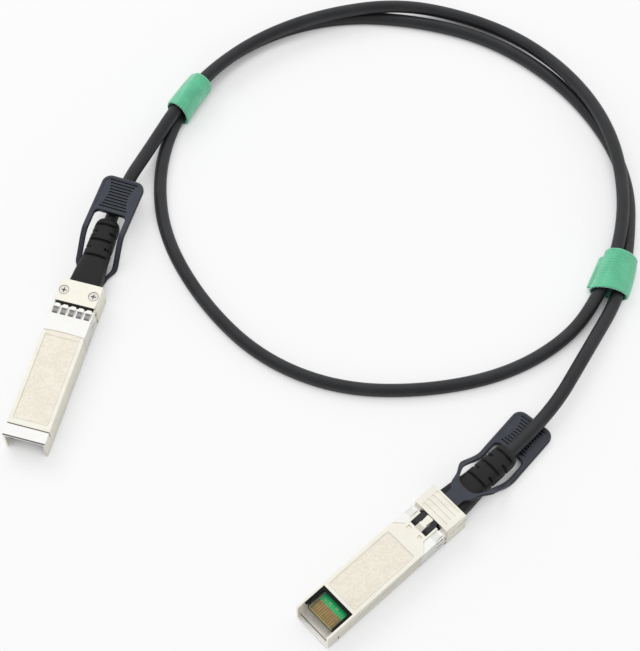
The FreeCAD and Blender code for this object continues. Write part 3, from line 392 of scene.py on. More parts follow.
# ---------------------------------------------------------------- finishes


# The engraved label panels of a shell: side of the plug, middle and half length in millimetres, and
# how dark the painted shade in the line round it is.
PANELS = ((1, 22.2, 15.8, 0.26), (-1, 23.65, 12.05, 0.22))


def shell_finish(plug):
    """Satin nickel over a casting, finer and warmer inside the engraved label panels."""
    item, tree, shader = material(plug + " nickel shell")
    nickel, panel = finishes().nickel, finishes().panel
    where, along, across, up = plug_space(tree, plug)
    relief, mottle = grained(tree, where, 3400.0, 0.35)
    smudges, scratches = worn(tree, where, 110.0)
    shade = mixed(tree, times(tree, mottle, 0.5), tinted(nickel), tinted(panel))
    shade = mixed(tree, times(tree, smudges, 0.12), shade, tinted(nickel, 0.80))
    rough = swayed(tree, swayed(tree, 0.30, smudges, 0.08), scratches, -0.10)

    # In millimetres: the end of the nose strip, the outer faces, the mouth's roof and its half width.
    nose, outer, roof, mouth = 4.25, 4.0, 3.6, 6.0
    strip = times(tree, spread(tree, along, nose - 0.10, nose - 0.15), spread(tree, up, 3.3, 3.4))
    shade = mixed(tree, strip, shade, (1.0, 0.995, 0.975, 1.0))
    blotch = spread(tree, grained(tree, where, 1150.0, 0.0)[0], 0.56, 0.40)
    speck = spread(tree, relief, 0.36, 0.25)
    shade_marks = []
    for side, middle, half, dark in PANELS:
        centred = moved(tree, where, Location=(-middle * MM, 0.0, 0.0))
        line, inside = placed(tree, framed_line(), Vector=centred, Half_length=half * MM, Half_width=5.5 * MM)
        facing = spread(tree, times(tree, up, side), outer, outer + 0.05)
        # The line round the panel is painted shade in its engraved groove.
        shade_marks.append(times(tree, line, facing, dark))
        inside = times(tree, inside, facing)
        shade = mixed(tree, times(tree, inside, 0.8), shade, tinted(panel))
        shade = mixed(tree, times(tree, speck, inside, 0.30), shade, tinted(panel, 0.66))
        shade = mixed(tree, times(tree, blotch, inside, 0.55), shade, (0.88, 0.80, 0.70, 1.0))
        rough = swayed(tree, rough, inside, 0.10)

    # Painted shade in the groove behind the nose strip, along the front edge and in the corner under the
    # mouth's roof, joined with the panel lines; the bump also sinks them.
    shade_marks.append(times(tree, band(tree, along, nose, 0.15, 0.06), spread(tree, up, 1.4, 1.5)))
    shade_marks.append(times(tree, spread(tree, along, 0.46, 0.38), spread(tree, up, outer - 0.03, outer + 0.01)))
    under_roof = times(tree, spread(tree, up, roof + 0.02, roof - 0.02), spread(tree, up, 3.0, 3.4))
    shade_marks.append(times(tree, band(tree, along, 1.25, 0.14, 0.05), under_roof))
    painted_shade = shade_marks[0]
    for mark in shade_marks[1:]:
        painted_shade = maths(tree, "MAXIMUM", painted_shade, mark)
    shade = mixed(tree, times(tree, painted_shade, 0.85), shade, (0.10, 0.085, 0.065, 1.0))

    # The bright cast faces inside the mouth, and the ledges beside the card painted black as the shade under
    # them.
    cast = times(tree, band(tree, up, 0.0, roof + 0.02, 0.04), band(tree, across, 0.0, mouth + 0.05, 0.05),
                 spread(tree, along, 0.12, 0.16))
    shade = mixed(tree, times(tree, cast, maths(tree, "SUBTRACT", 1.0, painted_shade)), shade,
                  (0.99, 0.955, 0.90, 1.0))
    shaded_ledges = times(tree, band(tree, along, 7.2, 4.3, 0.1), band(tree, across, 0.0, mouth, 0.05),
                   band(tree, up, -2.8, 0.75, 0.02))
    shade = mixed(tree, times(tree, shaded_ledges, 0.98), shade, (0.004, 0.004, 0.004, 1.0))
    feed(tree, shader, Base_Color=shade, Metallic=swayed(tree, 0.88, cast, -0.6), Roughness=rough)
    height = swayed(tree, swayed(tree, relief, scratches, -0.4), painted_shade, -2.0)
    bump(tree, shader, height, 0.014 * MM)
    return item


def hood_finish(plug):
    """Nickel hood, with painted shade in the gap round each screw head."""
    item, tree, shader = material(plug + " nickel hood")
    where, along, across, up = plug_space(tree, plug)
    relief, mottle = grained(tree, where, 3400.0, 0.3)
    smudges = worn(tree, where, 130.0)[0]
    low, high = reach(plug, "cover_screws")
    head = 1.5    # radius of a screw's head
    seat = add(tree, "ShaderNodeCombineXYZ", {
        0: maths(tree, "SUBTRACT", along, (low.x + high.x) / 2),
        1: maths(tree, "SUBTRACT", maths(tree, "ABSOLUTE", across), (high.y - low.y) / 2 - head)})
    away = add(tree, "ShaderNodeVectorMath", {0: seat.outputs[0]}, operation="LENGTH").outputs["Value"]
    # Painted shade in the gap round each screw head; the bump sinks it too.
    ring = times(tree, band(tree, away, head + 0.06, 0.07, 0.05), spread(tree, up, 4.2, 4.4))
    shade = mixed(tree, times(tree, mottle, 0.6), tinted(finishes().nickel), tinted(finishes().panel))
    shade = mixed(tree, times(tree, ring, 0.8), shade, (0.12, 0.11, 0.09, 1.0))
    feed(tree, shader, Base_Color=shade, Metallic=0.88, Roughness=swayed(tree, 0.28, smudges, 0.08))
    bump(tree, shader, swayed(tree, relief, ring, -2.0), 0.012 * MM)
    return item


def collar_finish(plug):
    """Bright rolled sheet; the ramps of the spring fingers are painted grey as the shade and dark reflections
    on them.
    """
    item, tree, shader = material(plug + " collar sheet")
    where, along, across, up = plug_space(tree, plug)
    smudges = worn(tree, where, 160.0)[0]
    rolled = moved(tree, where, Scale=(1.0, 0.08, 0.08))
    relief, mottle = grained(tree, rolled, 3200.0, 0.0)
    tin = finishes().tin
    shade = mixed(tree, times(tree, smudges, 0.10), tinted(tin), tinted(tin, 0.86))
    back, pitch = reach(plug, "emi_collar")[1].x, FINGER_PITCH
    cell = maths(tree, "PINGPONG", maths(tree, "ADD", across, pitch * 10), pitch / 2)
    finger = spread(tree, cell, 0.90, 0.82)
    ramp = band(tree, along, back - 2.05, 1.10, 0.10)
    over = times(tree, spread(tree, maths(tree, "ABSOLUTE", up), 4.0, 4.1),
                 spread(tree, maths(tree, "ABSOLUTE", across), 6.4, 6.3))
    # Painted shade and reflection on the finger ramps, paler along the middle of each ramp.
    painted_ramp_shade = times(tree, finger, ramp, over, spread(tree, up, 0.0, 0.1))
    ramp_shade_gradient = band(tree, along, back - 2.0, 0.25, 0.5)
    ramp_shade_colours = mixed(tree, ramp_shade_gradient, (0.20, 0.20, 0.21, 1.0), (0.40, 0.40, 0.41, 1.0))
    shade = mixed(tree, painted_ramp_shade, shade, ramp_shade_colours)
    feed(tree, shader, Base_Color=shade, Metallic=0.92, Roughness=swayed(tree, 0.22, mottle, 0.06))
    bump(tree, shader, relief, 0.004 * MM)
    return item


def screw_finish(plug):
    """Bright plated heads, with painted shade in the cross recess."""
    item, tree, shader = material(plug + " screw steel")
    where, _, _, up = plug_space(tree, plug)
    relief, mottle = grained(tree, where, 5200.0, 0.2)
    top = reach(plug, "cover_screws")[1].z
    deep = spread(tree, up, top - 0.05, top - 0.15)
    shade = mixed(tree, mottle, tinted(finishes().steel, 1.25), tinted(finishes().steel, 1.4))
    # Painted shade in the cross recess.
    shade = mixed(tree, times(tree, deep, 0.92), shade, (0.035, 0.032, 0.028, 1.0))
    feed(tree, shader, Base_Color=shade, Metallic=0.95, Roughness=swayed(tree, 0.22, mottle, 0.12))
    bump(tree, shader, relief, 0.006 * MM)
    return item


def plain_finish(name, grain, shades, rough, relief, **entries):
    """A finish that wanders between two shades: grain is its scale and pits, rough its least and sway."""
    item, tree, shader = material(name)
    height, mottle = grained(tree, object_space(tree), *grain)
    feed(tree, shader, Base_Color=mixed(tree, mottle, *shades),
         Roughness=swayed(tree, rough[0], mottle, rough[1]), **entries)
    bump(tree, shader, height, relief * MM)
    return item


def steel_finish():
    """Plated steel of the springs and ferrules."""
    steel = finishes().steel
    return plain_finish("spring steel", (6000.0, 0.2), (tinted(steel), tinted(steel, 1.18)), (0.24, 0.12),
                        0.006, Metallic=1.0)


def rubber_finish():
    """Matt moulded rubber of the boots."""
    rubber = finishes().rubber
    return plain_finish("boot rubber", (4200.0, 0.5), (tinted(rubber), tinted(rubber, 1.9)), (0.52, 0.10),
                        0.03, Specular_IOR_Level=0.4)


def tab_finish(part, least, light):
    """Slate moulded plastic: glossy on the rim and straps, finely textured on the face; the rim's far darker
    copy of the colour is painted shade on the rounded edges and sides.
    """
    tab = finishes().tab
    return plain_finish("tab plastic " + part, (3800.0, 0.4), (tinted(tab, light), tinted(tab, light * 1.35)),
                        (least, 0.08), 0.02 * least, Specular_IOR_Level=0.6)


def component_finish():
    """Moulded epoxy chips and dull ceramic blocks."""
    item, tree, shader = material("component black")
    relief, mottle = grained(tree, object_space(tree), 5200.0, 0.6)
    shade = mixed(tree, mottle, (0.016, 0.016, 0.017, 1.0), (0.05, 0.047, 0.042, 1.0))
    feed(tree, shader, Base_Color=shade, Roughness=swayed(tree, 0.45, relief, 0.2))
    bump(tree, shader, relief, 0.02 * MM)
    return item


def black_sheet_finish():
    """Black sheet round the card, slightly creased."""
    return plain_finish("black seal film", (2600.0, 0.1),
                        ((0.006, 0.006, 0.007, 1.0), (0.012, 0.012, 0.013, 1.0)), (0.4, 0.15), 0.02,
                        Specular_IOR_Level=0.15)


def wire_finish():
    """Milky foamed insulation round the silvered conductors."""
    return plain_finish("wire insulation", (3000.0, 0.1),
                        ((0.62, 0.64, 0.68, 1.0), (0.78, 0.79, 0.80, 1.0)), (0.35, 0.1), 0.01)


def jacket_finish():
    """Extruded black jacket with a soft sheen, a faint unevenness and a little dust."""
    item, tree, shader = material("cable_jacket")
    where, jacket = object_space(tree), finishes().jacket
    relief, mottle = grained(tree, where, 2600.0, 0.1)
    slow = spread(tree, noise(tree, where, 90.0, Detail=3.0), 0.4, 0.62)
    dust = spread(tree, cells(tree, where, 900.0), 0.10, 0.04)
    shade = mixed(tree, slow, tinted(jacket), tinted(jacket, 1.5))
    shade = mixed(tree, times(tree, dust, 0.2), shade, (0.16, 0.16, 0.17, 1.0))
    feed(tree, shader, Base_Color=shade, Roughness=swayed(tree, 0.40, mottle, 0.08), Specular_IOR_Level=0.5)
    bump(tree, shader, relief, 0.02 * MM)
    return item


def card_finish(plug):
    """Green solder mask over copper tracks, bare laminate between the contacts and a tan front edge."""
    item, tree, shader = material(plug + " card laminate")
    where, along, _, _ = plug_space(tree, plug)
    tracks, holes, weave = placed(tree, board_pattern(), Vector=where)
    mask = finishes().mask
    shade = mixed(tree, times(tree, tracks, 0.5), tinted(mask), tinted(mask, 1.7))
    shade = mixed(tree, holes, shade, (0.45, 0.40, 0.22, 1.0))
    low, high = reach(plug, "contact_pads")
    bare = spread(tree, along, high.x - 0.1, high.x - 0.25)
    shade = mixed(tree, times(tree, bare, 0.9), shade, (0.200, 0.130, 0.045, 1.0))
    tip = spread(tree, along, low.x - 0.02, low.x - 0.08)
    shade = mixed(tree, tip, shade, (0.42, 0.33, 0.10, 1.0))
    feed(tree, shader, Base_Color=shade, Roughness=swayed(tree, 0.26, weave, 0.06), Coat_Weight=0.3,
         Coat_Roughness=0.15)
    bump(tree, shader, swayed(tree, tracks, weave, 0.3), 0.02 * MM)
    return item


def gold_finish():
    """Hard gold over nickel, wiped by insertion."""
    item, tree, shader = material("contact gold")
    smudges, scratches = worn(tree, object_space(tree), 600.0)
    gold = finishes().gold
    shade = mixed(tree, times(tree, smudges, 0.5), tinted(gold), tinted(gold, 0.55))
    feed(tree, shader, Base_Color=shade, Metallic=1.0, Roughness=swayed(tree, 0.28, scratches, 0.2))
    bump(tree, shader, scratches, 0.004 * MM)
    return item


def tape_finish():
    """Green hook-and-loop tape: rows of loops with painted shade in the hollows between them, and a paler
    painted sheen towards its edges.
    """
    item, tree, shader = material("hook and loop tape")
    along, around, _ = split(tree, add(tree, "ShaderNodeTexCoord").outputs["UV"])
    rows, hooks = (maths(tree, "SINE", times(tree, part, math.tau)) for part in (along, around))
    loops = spread(tree, swayed(tree, rows, hooks, 0.45), -1.2, 1.2, smooth=True)
    relief, mottle = grained(tree, object_space(tree), 2400.0, 0.2)
    tape = finishes().tape
    shade = mixed(tree, mottle, tinted(tape, 0.95), tinted(tape, 1.12))
    # Painted shade: darker in the hollows between the rows of loops.
    shade = mixed(tree, swayed(tree, 0.5, loops, 0.5), tinted(tape, 0.64), shade)
    # Painted sheen: paler mint where the tape turns away from the view.
    painted_sheen = add(tree, "ShaderNodeLayerWeight", {"Blend": 0.35}).outputs["Facing"]
    shade = mixed(tree, times(tree, painted_sheen, 0.55), shade, (0.60, 0.88, 0.74, 1.0))
    feed(tree, shader, Base_Color=shade, Roughness=0.8, Specular_IOR_Level=0.2,
         Sheen_Weight=1.0, Sheen_Roughness=0.28, Sheen_Tint=(0.9, 1.0, 0.95, 1.0))
    bump(tree, shader, maths(tree, "ADD", loops, relief), 0.09 * MM)
    return item


def floor_finish():
    """Smooth pale paper with a trace of fibre; to the eye it glows from behind, as a light table does."""
    item, tree, shader = material("pale floor")
    floor = finishes().floor
    seen = tree.nodes.new("ShaderNodeLightPath").outputs["Is Camera Ray"]
    mottle = grained(tree, object_space(tree), 60.0, 0.0)[1]
    shade = mixed(tree, times(tree, mottle, 0.3), tinted(floor), tinted(floor, 0.985))
    shade = mixed(tree, seen, shade, tinted(floor, 0.42))
    shelter = add(tree, "ShaderNodeAmbientOcclusion", {"Distance": 14.0 * MM}, samples=12).outputs["AO"]
    glow = times(tree, seen, spread(tree, shelter, 0.05, 0.60, smooth=True))
    feed(tree, shader, Base_Color=shade, Roughness=0.9, Specular_IOR_Level=0.0,
         Emission_Color=tinted(floor, 0.62), Emission_Strength=glow)
    return item


# ---------------------------------------------------------------- meshes and objects


def dress(node, finish, edge):
    """Gives a CAD node its finish and softly rounded edges."""
    item = frame["nodes"][node]
    item.data.materials.clear()
    item.data.materials.append(finish)
    weld = item.modifiers.new("Joined corners", "WELD")
    weld.merge_threshold = DOUBLED
    if edge:
        round_off = item.modifiers.new("Eased edges", "BEVEL")
        round_off.width = edge * MM
        round_off.segments = 2
        round_off.limit_method = "ANGLE"
        round_off.angle_limit = math.radians(35.0)
        round_off.use_clamp_overlap = True
        round_off.harden_normals = False
        round_off.miter_outer = "MITER_ARC"


def linked(name, data):
    """A new object in the scene."""
    item = bpy.data.objects.new(name, data)
    bpy.context.scene.collection.objects.link(item)
    return item


def made(name, shape):
    """A new object of a shape, which is used up."""
    mesh = bpy.data.meshes.new(name)
    shape.to_mesh(mesh)
    shape.free()
    return linked(name, mesh)


def joined(shape, part):
    """Adds a part to a shape and uses the part up."""
    mesh = bpy.data.meshes.new("part")
    part.to_mesh(mesh)
    part.free()
    shape.from_mesh(mesh)
    bpy.data.meshes.remove(mesh)


def outcome(holder):
    """The mesh that an object comes to with its modifiers or its bevel."""
    bpy.context.view_layer.update()
    return bpy.data.meshes.new_from_object(holder.evaluated_get(bpy.context.evaluated_depsgraph_get()))


def outcome_shape(holder):
    """What an object comes to, as a shape that can be worked on."""
    mesh, shape = outcome(holder), bmesh.new()
    shape.from_mesh(mesh)
    bpy.data.meshes.remove(mesh)
    return shape


def solid_shape(node):
    """A CAD node's own shape with its doubled corners joined."""
    shape = bmesh.new()
    shape.from_mesh(frame["nodes"][node].data)
    bmesh.ops.remove_doubles(shape, verts=shape.verts, dist=DOUBLED)
    return shape


def all_of(shape):
    return shape.verts[:] + shape.edges[:] + shape.faces[:]


def keep_front(shape, spot, way):
    """Takes off what lies behind a plane and closes the cut."""
    cut = bmesh.ops.bisect_plane(shape, geom=all_of(shape), plane_co=spot, plane_no=way, clear_outer=True)
    edges = [part for part in cut["geom_cut"] if isinstance(part, bmesh.types.BMEdge)]
    bmesh.ops.triangle_fill(shape, use_beauty=True, edges=edges)


def fit(piece, finish_list, body, replaced=None):
    """Gives a piece its finishes and its body, and hides the CAD node that it stands for."""
    for finish in finish_list:
        piece.data.materials.append(finish)
    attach(piece, body)
    if replaced:
        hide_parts(replaced)


def share_of(value, low, high):
    """How far a value is from low to high, held from 0 to 1."""
    return min(1.0, max(0.0, (value - low) / (high - low)))


def eased(value, low, high):
    """0 below low, 1 above high, and smooth between."""
    share = share_of(value, low, high)
    return share * share * (3.0 - 2.0 * share)


# ---------------------------------------------------------------- flat shapes


def add_loop(curve, corners):
    """A closed outline in millimetres through eased corners, each (x, y, radius)."""
    count, ends = len(corners), []
    for index, (x, y, radius) in enumerate(corners):
        here = Vector((x, y))
        before, after = (Vector(corners[(index + step) % count][:2]) for step in (-1, 1))
        back, ahead = (before - here), (after - here)
        turn = math.pi - back.angle(ahead)
        tangent = min(radius * math.tan(turn / 2), 0.48 * back.length, 0.48 * ahead.length)
        bulge = tangent * (1 - 4 / 3 * math.tan(turn / 4) / math.tan(turn / 2)) if turn > 0.001 else 0.0
        for way in (back.normalized(), ahead.normalized()):
            ends.append((here + way * tangent, here + way * bulge))
    spline = curve.splines.new("BEZIER")
    spline.bezier_points.add(len(ends) - 1)
    for index, (knot, (place, handle)) in enumerate(zip(spline.bezier_points, ends)):
        knot.co = (*place, 0.0)
        entering = index % 2 == 0
        knot.handle_left_type = knot.handle_right_type = "FREE"
        knot.handle_right = (*(handle if entering else place), 0.0)
        knot.handle_left = (*(place if entering else handle), 0.0)
    spline.use_cyclic_u = True


def flat_shape(loops, low, high, edge=0.0, steps=0):
    """A flat shape with rounded edges from its outlines, from low to high, in millimetres."""
    curve = bpy.data.curves.new("outline", "CURVE")
    curve.dimensions = "2D"
    curve.fill_mode = "BOTH"
    curve.resolution_u = 7
    curve.extrude = (high - low) / 2 - edge
    curve.bevel_depth, curve.bevel_resolution, curve.offset = edge, steps, -edge
    for loop in loops:
        add_loop(curve, loop)
    holder = linked("outline", curve)
    shape = outcome_shape(holder)
    bpy.data.objects.remove(holder)
    bmesh.ops.remove_doubles(shape, verts=shape.verts, dist=0.001)
    bmesh.ops.recalc_face_normals(shape, faces=shape.faces)
    bmesh.ops.translate(shape, verts=shape.verts, vec=(0, 0, (low + high) / 2))
    return shape


def block(x_low, x_high, y_low, y_high, front, back):
    """Corners of a rectangle, eased by one radius at its front and another at its back."""
    return [(x_low, y_low, front), (x_high, y_low, back), (x_high, y_high, back), (x_low, y_high, front)]


def carved(shape, cutters):
    """A shape with others taken out of it."""
    holders = [made(f"carving_{index}", part) for index, part in enumerate([shape] + cutters)]
    for cutter in holders[1:]:
        taking = holders[0].modifiers.new("Carve", "BOOLEAN")
        taking.operation, taking.solver, taking.object = "DIFFERENCE", "EXACT", cutter
    result = outcome_shape(holders[0])
    for holder in holders:
        bpy.data.objects.remove(holder)
    return result


# ---------------------------------------------------------------- wraps


def route_line():
    """Points along the middle of the cable, read from its smooth line."""
    bare = bpy.data.objects["cable_jacket"].copy()
    bare.data = bare.data.copy()
    bare.data.bevel_depth = 0.0
    bpy.context.scene.collection.objects.link(bare)
    mesh = outcome(bare)
    points = [vertex.co.copy() for vertex in mesh.vertices]
    bpy.data.meshes.remove(mesh)
    bpy.data.objects.remove(bare)
    return points


def wrap_axes(middle, heading):
    """A wrap's middle on the floor, its direction and the direction to its left."""
    ahead = Vector((math.cos(heading), math.sin(heading), 0))
    return Vector((middle[0], middle[1], 0)), ahead, Vector((-ahead.y, ahead.x, 0))


def strands_at(line, middle, heading, along):
    """Where the cable crosses a plane across the wrap: (to the left, up) pairs in the plane."""
    start, ahead, left = wrap_axes(middle, heading)
    centre, widest = start + ahead * along, 20 * MM
    found = []
    for before, after in zip(line, line[1:]):
        first, second = (before - centre).dot(ahead), (after - centre).dot(ahead)
        if first * second <= 0 and first != second:
            spot = before.lerp(after, first / (first - second)) - centre
            if abs(spot.dot(left)) < widest:
                found.append((spot.dot(left), spot.z))
    return found


def loose_outline(strands, radius, count):
    """Evenly spaced points round a loose loop over the strands, from the bottom left, with their normals."""
    steps, ease, first = 360, 32, math.radians(-150)
    middle = sum((Vector(strand) for strand in strands), Vector((0, 0))) / len(strands)
    hubs = [Vector(strand) - middle for strand in strands]
    turns = [math.tau * step / steps + first for step in range(steps)]
    rays = [Vector((math.cos(turn), math.sin(turn))) for turn in turns]
    tight = [max(hub.dot(ray) for hub in hubs) + radius for ray in rays]
    wide = [sum(tight[(step + shift) % steps] for shift in range(-ease, ease + 1)) / (2 * ease + 1)
            for step in range(steps)]
    fine = []
    for step, ray in enumerate(rays):
        lean = (wide[(step + 1) % steps] - wide[step - 1]) / (2 * math.tau / steps)
        fine.append((middle + ray * wide[step] + Vector((-ray.y, ray.x)) * lean, ray))
    fine.append(fine[0])
    lengths = [0.0]
    for before, after in zip(fine, fine[1:]):
        lengths.append(lengths[-1] + (after[0] - before[0]).length)
    ring, at = [], 0
    for step in range(count):
        wanted = lengths[-1] * step / count
        while lengths[at + 1] < wanted:
            at += 1
        gap = lengths[at + 1] - lengths[at]
        share = (wanted - lengths[at]) / gap if gap else 0.0
        ring.append((fine[at][0].lerp(fine[at + 1][0], share),
                     fine[at][1].lerp(fine[at + 1][1], share).normalized()))
    return ring


def wrap_mesh(name, line, middle, heading):
    """A closed band of ribbed tape round the two strands, its end lapped over its start."""
    size = bpy.context.scene.wrap_sizes
    around, fine = 132, 6                                  # points round the wrap, and to a woven row
    single, lapped, lap_start = 0.72, 0.55, 0.60           # shares of the thickness, and of the way round
    ridge, ripple, hem = 0.13 * MM, 0.04 * MM, 0.12 * MM   # height of the rows, their loops and the hem
    floor_outside, floor_inside = 0.06 * MM, 0.25 * MM     # how near the two faces come to the floor
    rows = max(8, round(size.width / size.row_pitch)) * fine
    radius = sizes().diameter / 2 + size.slack
    start, ahead, left = wrap_axes(middle, heading)
    inside, outside = [], []
    shape = bmesh.new()
    layer = shape.loops.layers.uv.new("UVMap")
    for row in range(rows + 1):
        along = (row / rows - 0.5) * size.width
        ring = loose_outline(strands_at(line, middle, heading, along), radius, around)
        rise = 0.5 - 0.5 * math.cos(math.tau * along / size.row_pitch)
        edge = min(row, rows - row) / 3
        inner, outer = [], []
        for index, (spot, normal) in enumerate(ring):
            share = index / around
            lap = share_of(share, lap_start, lap_start + 0.02) * min(1.0, (1.0 - share) / 0.012)
            depth = size.thickness * (single + lapped * lap) - hem * max(0.0, 1.0 - edge) ** 2
            depth += rise * (ridge + ripple * math.sin(index * math.tau / 3 + row * 0.9))
            for holder, offset, lowest in ((inner, 0.0, floor_inside), (outer, depth, floor_outside)):
                place = start + ahead * along + left * (spot.x + normal.x * offset)
                place.z = max(spot.y + normal.y * offset, lowest)
                holder.append(shape.verts.new(place))
        inside.append(inner)
        outside.append(outer)

    def skin(one, two, u_one, u_two, per_loop):
        """Faces from one ring of points to the next, with their places in the weave."""
        for index in range(around):
            after = (index + 1) % around
            v_one, v_two = index / per_loop, (index + 1) / per_loop
            weave = ((u_one, v_one), (u_one, v_two), (u_two, v_two), (u_two, v_one))
            face = shape.faces.new((one[index], one[after], two[after], two[index]))
            face.smooth = True
            for loop, pair in zip(face.loops, weave):
                loop[layer].uv = pair

    for row in range(rows):
        u_one, u_two = row / fine, (row + 1) / fine
        skin(outside[row], outside[row + 1], u_one, u_two, 4)
        skin(inside[row + 1], inside[row], u_two, u_one, 4)
    skin(inside[0], outside[0], 0, 0.3, 3)
    skin(outside[rows], inside[rows], 0, 0.3, 3)
    bmesh.ops.recalc_face_normals(shape, faces=shape.faces)
    return made(name, shape)


def loose_end_mesh(name, line, middle, heading):
    """The tape's free end, standing off the left side of a wrap."""
    size = bpy.context.scene.wrap_sizes
    long, wide = size.width * 0.43, 1.7 * MM    # half the length and half the width
    thick, edge = 0.95, 0.3                     # in millimetres, as the flat shape is
    sink, shift, height, lowest = 0.6 * MM, 0.3 * MM, 3.6 * MM, 0.06 * MM
    corners = [(x / MM, y / MM, 0.3 if y < 0 else 0.5)
               for x, y in ((-long, -wide), (long, -wide), (long, wide), (-long, wide))]
    shape = flat_shape([corners], -thick / 2, thick / 2, edge, 2)
    layer = shape.loops.layers.uv.new("UVMap")
    for face in shape.faces:
        face.smooth = True
        for loop in face.loops:
            loop[layer].uv = loop.vert.co.xy * MM / size.row_pitch
    start, ahead, left = wrap_axes(middle, heading)
    radius, ends = sizes().diameter / 2 + size.slack + size.thickness, []
    for along in (-long, long):
        ring = loose_outline(strands_at(line, middle, heading, along), radius, 72)
        ends.append(max(spot.x for spot, _ in ring))
    for vertex in shape.verts:
        x, y, z = vertex.co * MM
        beside = ends[0] + (ends[1] - ends[0]) * (x / long + 1) / 2 + y - sink
        drop = 0.28 * (y + wide) + 90.0 * (y + wide) ** 2
        place = start + ahead * (x + shift) + left * beside
        place.z = max(height - drop + z, lowest)
        vertex.co = place
    return made(name, shape)


# ---------------------------------------------------------------- boots


# The flex grooves of a boot, in millimetres behind the hood: the first one, how many there are, the
# shares of the half width where they end, and whether they run over the middle or at the sides.
GROOVES = ((11.3, 3, 0.84, 0.93, True), (14.2, 2, 0.50, 0.62, False))
GROOVE_PITCH = 5.85


def boot_section(stations, along):
    """Width, height and squareness of the sleeve at a distance behind the hood."""
    for before, after in zip(stations, stations[1:]):
        if along <= after[0] or after is stations[-1]:
            share = 0.4 * eased(along, before[0], after[0]) + 0.6 * share_of(along, before[0], after[0])
            return [one + (two - one) * share for one, two in zip(before[1:], after[1:])]


def groove_share(along, aside):
    """How deep the flex grooves are at a place on the sleeve: aside is 0 on its middle and 1 at its side."""
    deep = 0.0
    for first, count, low, high, over in GROOVES:
        cover = eased(aside, low, high)
        for step in range(count):
            width = 1.0 - eased(abs(along - first - GROOVE_PITCH * step), 0.30, 0.50)
            deep = max(deep, width * (1.0 - cover if over else cover))
    return deep


def boot_mesh(plug):
    """The boot: its head and flange as the solid has them, and a rounded sleeve with flex grooves."""
    place = plug_frame(plug)
    front, back = reach(plug, "rear_cover")[1].x, reach(plug, "strain_relief_boot")[1].x
    cable, middle, tip_wide, tip_high = sizes().diameter / 2 / MM, 0.1, 5.0, 4.7
    around, steps, tuck, tip_length = 96, 190, 0.5, 2.4
    shape = solid_shape(plug + "_strain_relief_boot")
    bmesh.ops.transform(shape, matrix=Matrix.Scale(1 / MM, 4) @ place.inverted(), verts=shape.verts)
    keep_front(shape, (front - 0.3, 0, 0), (1, 0, 0))

    length = back - front
    tip_start = length - tip_length
    # Each place behind the hood with the sleeve's width, height and squareness.
    stations = [(-tuck, 10.5, 6.3, 6.0), (3.5, 9.9, 6.3, 5.0), (11.3, 8.6, 6.1, 2.9), (17.0, 8.4, 6.0, 2.6),
                (22.9, 8.1, 5.9, 2.5), (tip_start, 8.0, 5.85, 2.4)]
    rings = []
    for step in range(steps + 1):
        along = -tuck + (length + tuck) * step / steps
        wide, high, square = boot_section(stations, along)
        ease = 1.0 - math.sqrt(max(0.0, 1.0 - share_of(along, tip_start, length) ** 2))
        wide, high = wide - (wide - tip_wide) * ease, high - (high - tip_high) * ease
        ring = []
        for index in range(around):
            turn = math.tau * index / around
            aside, above = (math.copysign(abs(part) ** (2 / square), part)
                            for part in (math.cos(turn), math.sin(turn)))
            y, z = aside * wide / 2, above * high / 2
            size = math.hypot(y, z)
            kept = max(cable + 0.12, size - groove_share(along, abs(aside)))
            ring.append(shape.verts.new((front + along, y * kept / size, middle + z * kept / size)))
        rings.append(ring)
    hole = cable * 0.98
    rings.append([shape.verts.new((back - 0.02, hole * math.cos(math.tau * index / around),
                                   middle + hole * math.sin(math.tau * index / around)))
                  for index in range(around)])
    for before, after in zip(rings, rings[1:]):
        for index in range(around):
            turn = (index + 1) % around
            shape.faces.new((before[index], before[turn], after[turn], after[index])).smooth = True
    shape.faces.new(rings[0][::-1])
    shape.faces.new(rings[-1])
    bmesh.ops.recalc_face_normals(shape, faces=shape.faces)
    bmesh.ops.transform(shape, matrix=place @ Matrix.Scale(MM, 4), verts=shape.verts)
    return made(plug + "_ribbed_boot", shape)


# ---------------------------------------------------------------- pull tabs


def mirrored(side):
    """An outline's one side, in order, and the other side back again."""
    return side + [(x, -y, radius) for x, y, radius in reversed(side)]


def grip_cutters(back, end, half, thick, rim):
    """What is taken out of the grip plate on both faces: a shallow well and ten slots."""
    face = block(back + 0.95, end - 1.0, 1.0 - half, half - 1.0, 1.0, 2.1)
    middle, pitch, wide, deep, count = (back + end) / 2, 1.13, 0.29, 0.34, 10
    slots = []
    for step in range(count):
        share = 2 * step / (count - 1) - 1
        x, long = middle + share * (count - 1) / 2 * pitch, 4.7 - (1 - share * share) * 1.3
        slots.append(block(x - wide, x + wide, -long, long, wide * 0.9, wide * 0.9))
    cutters = []
    for side in (-1, 1):
        floor, sky = thick / 2 - rim, thick / 2 + 1.0
        cutters.append(flat_shape([face], *sorted((side * floor, side * (floor + 2.0)))))
        ridges = bmesh.new()
        for slot in slots:
            joined(ridges, flat_shape([slot], *sorted((side * (floor - deep), side * sky))))
        cutters.append(ridges)
    return cutters


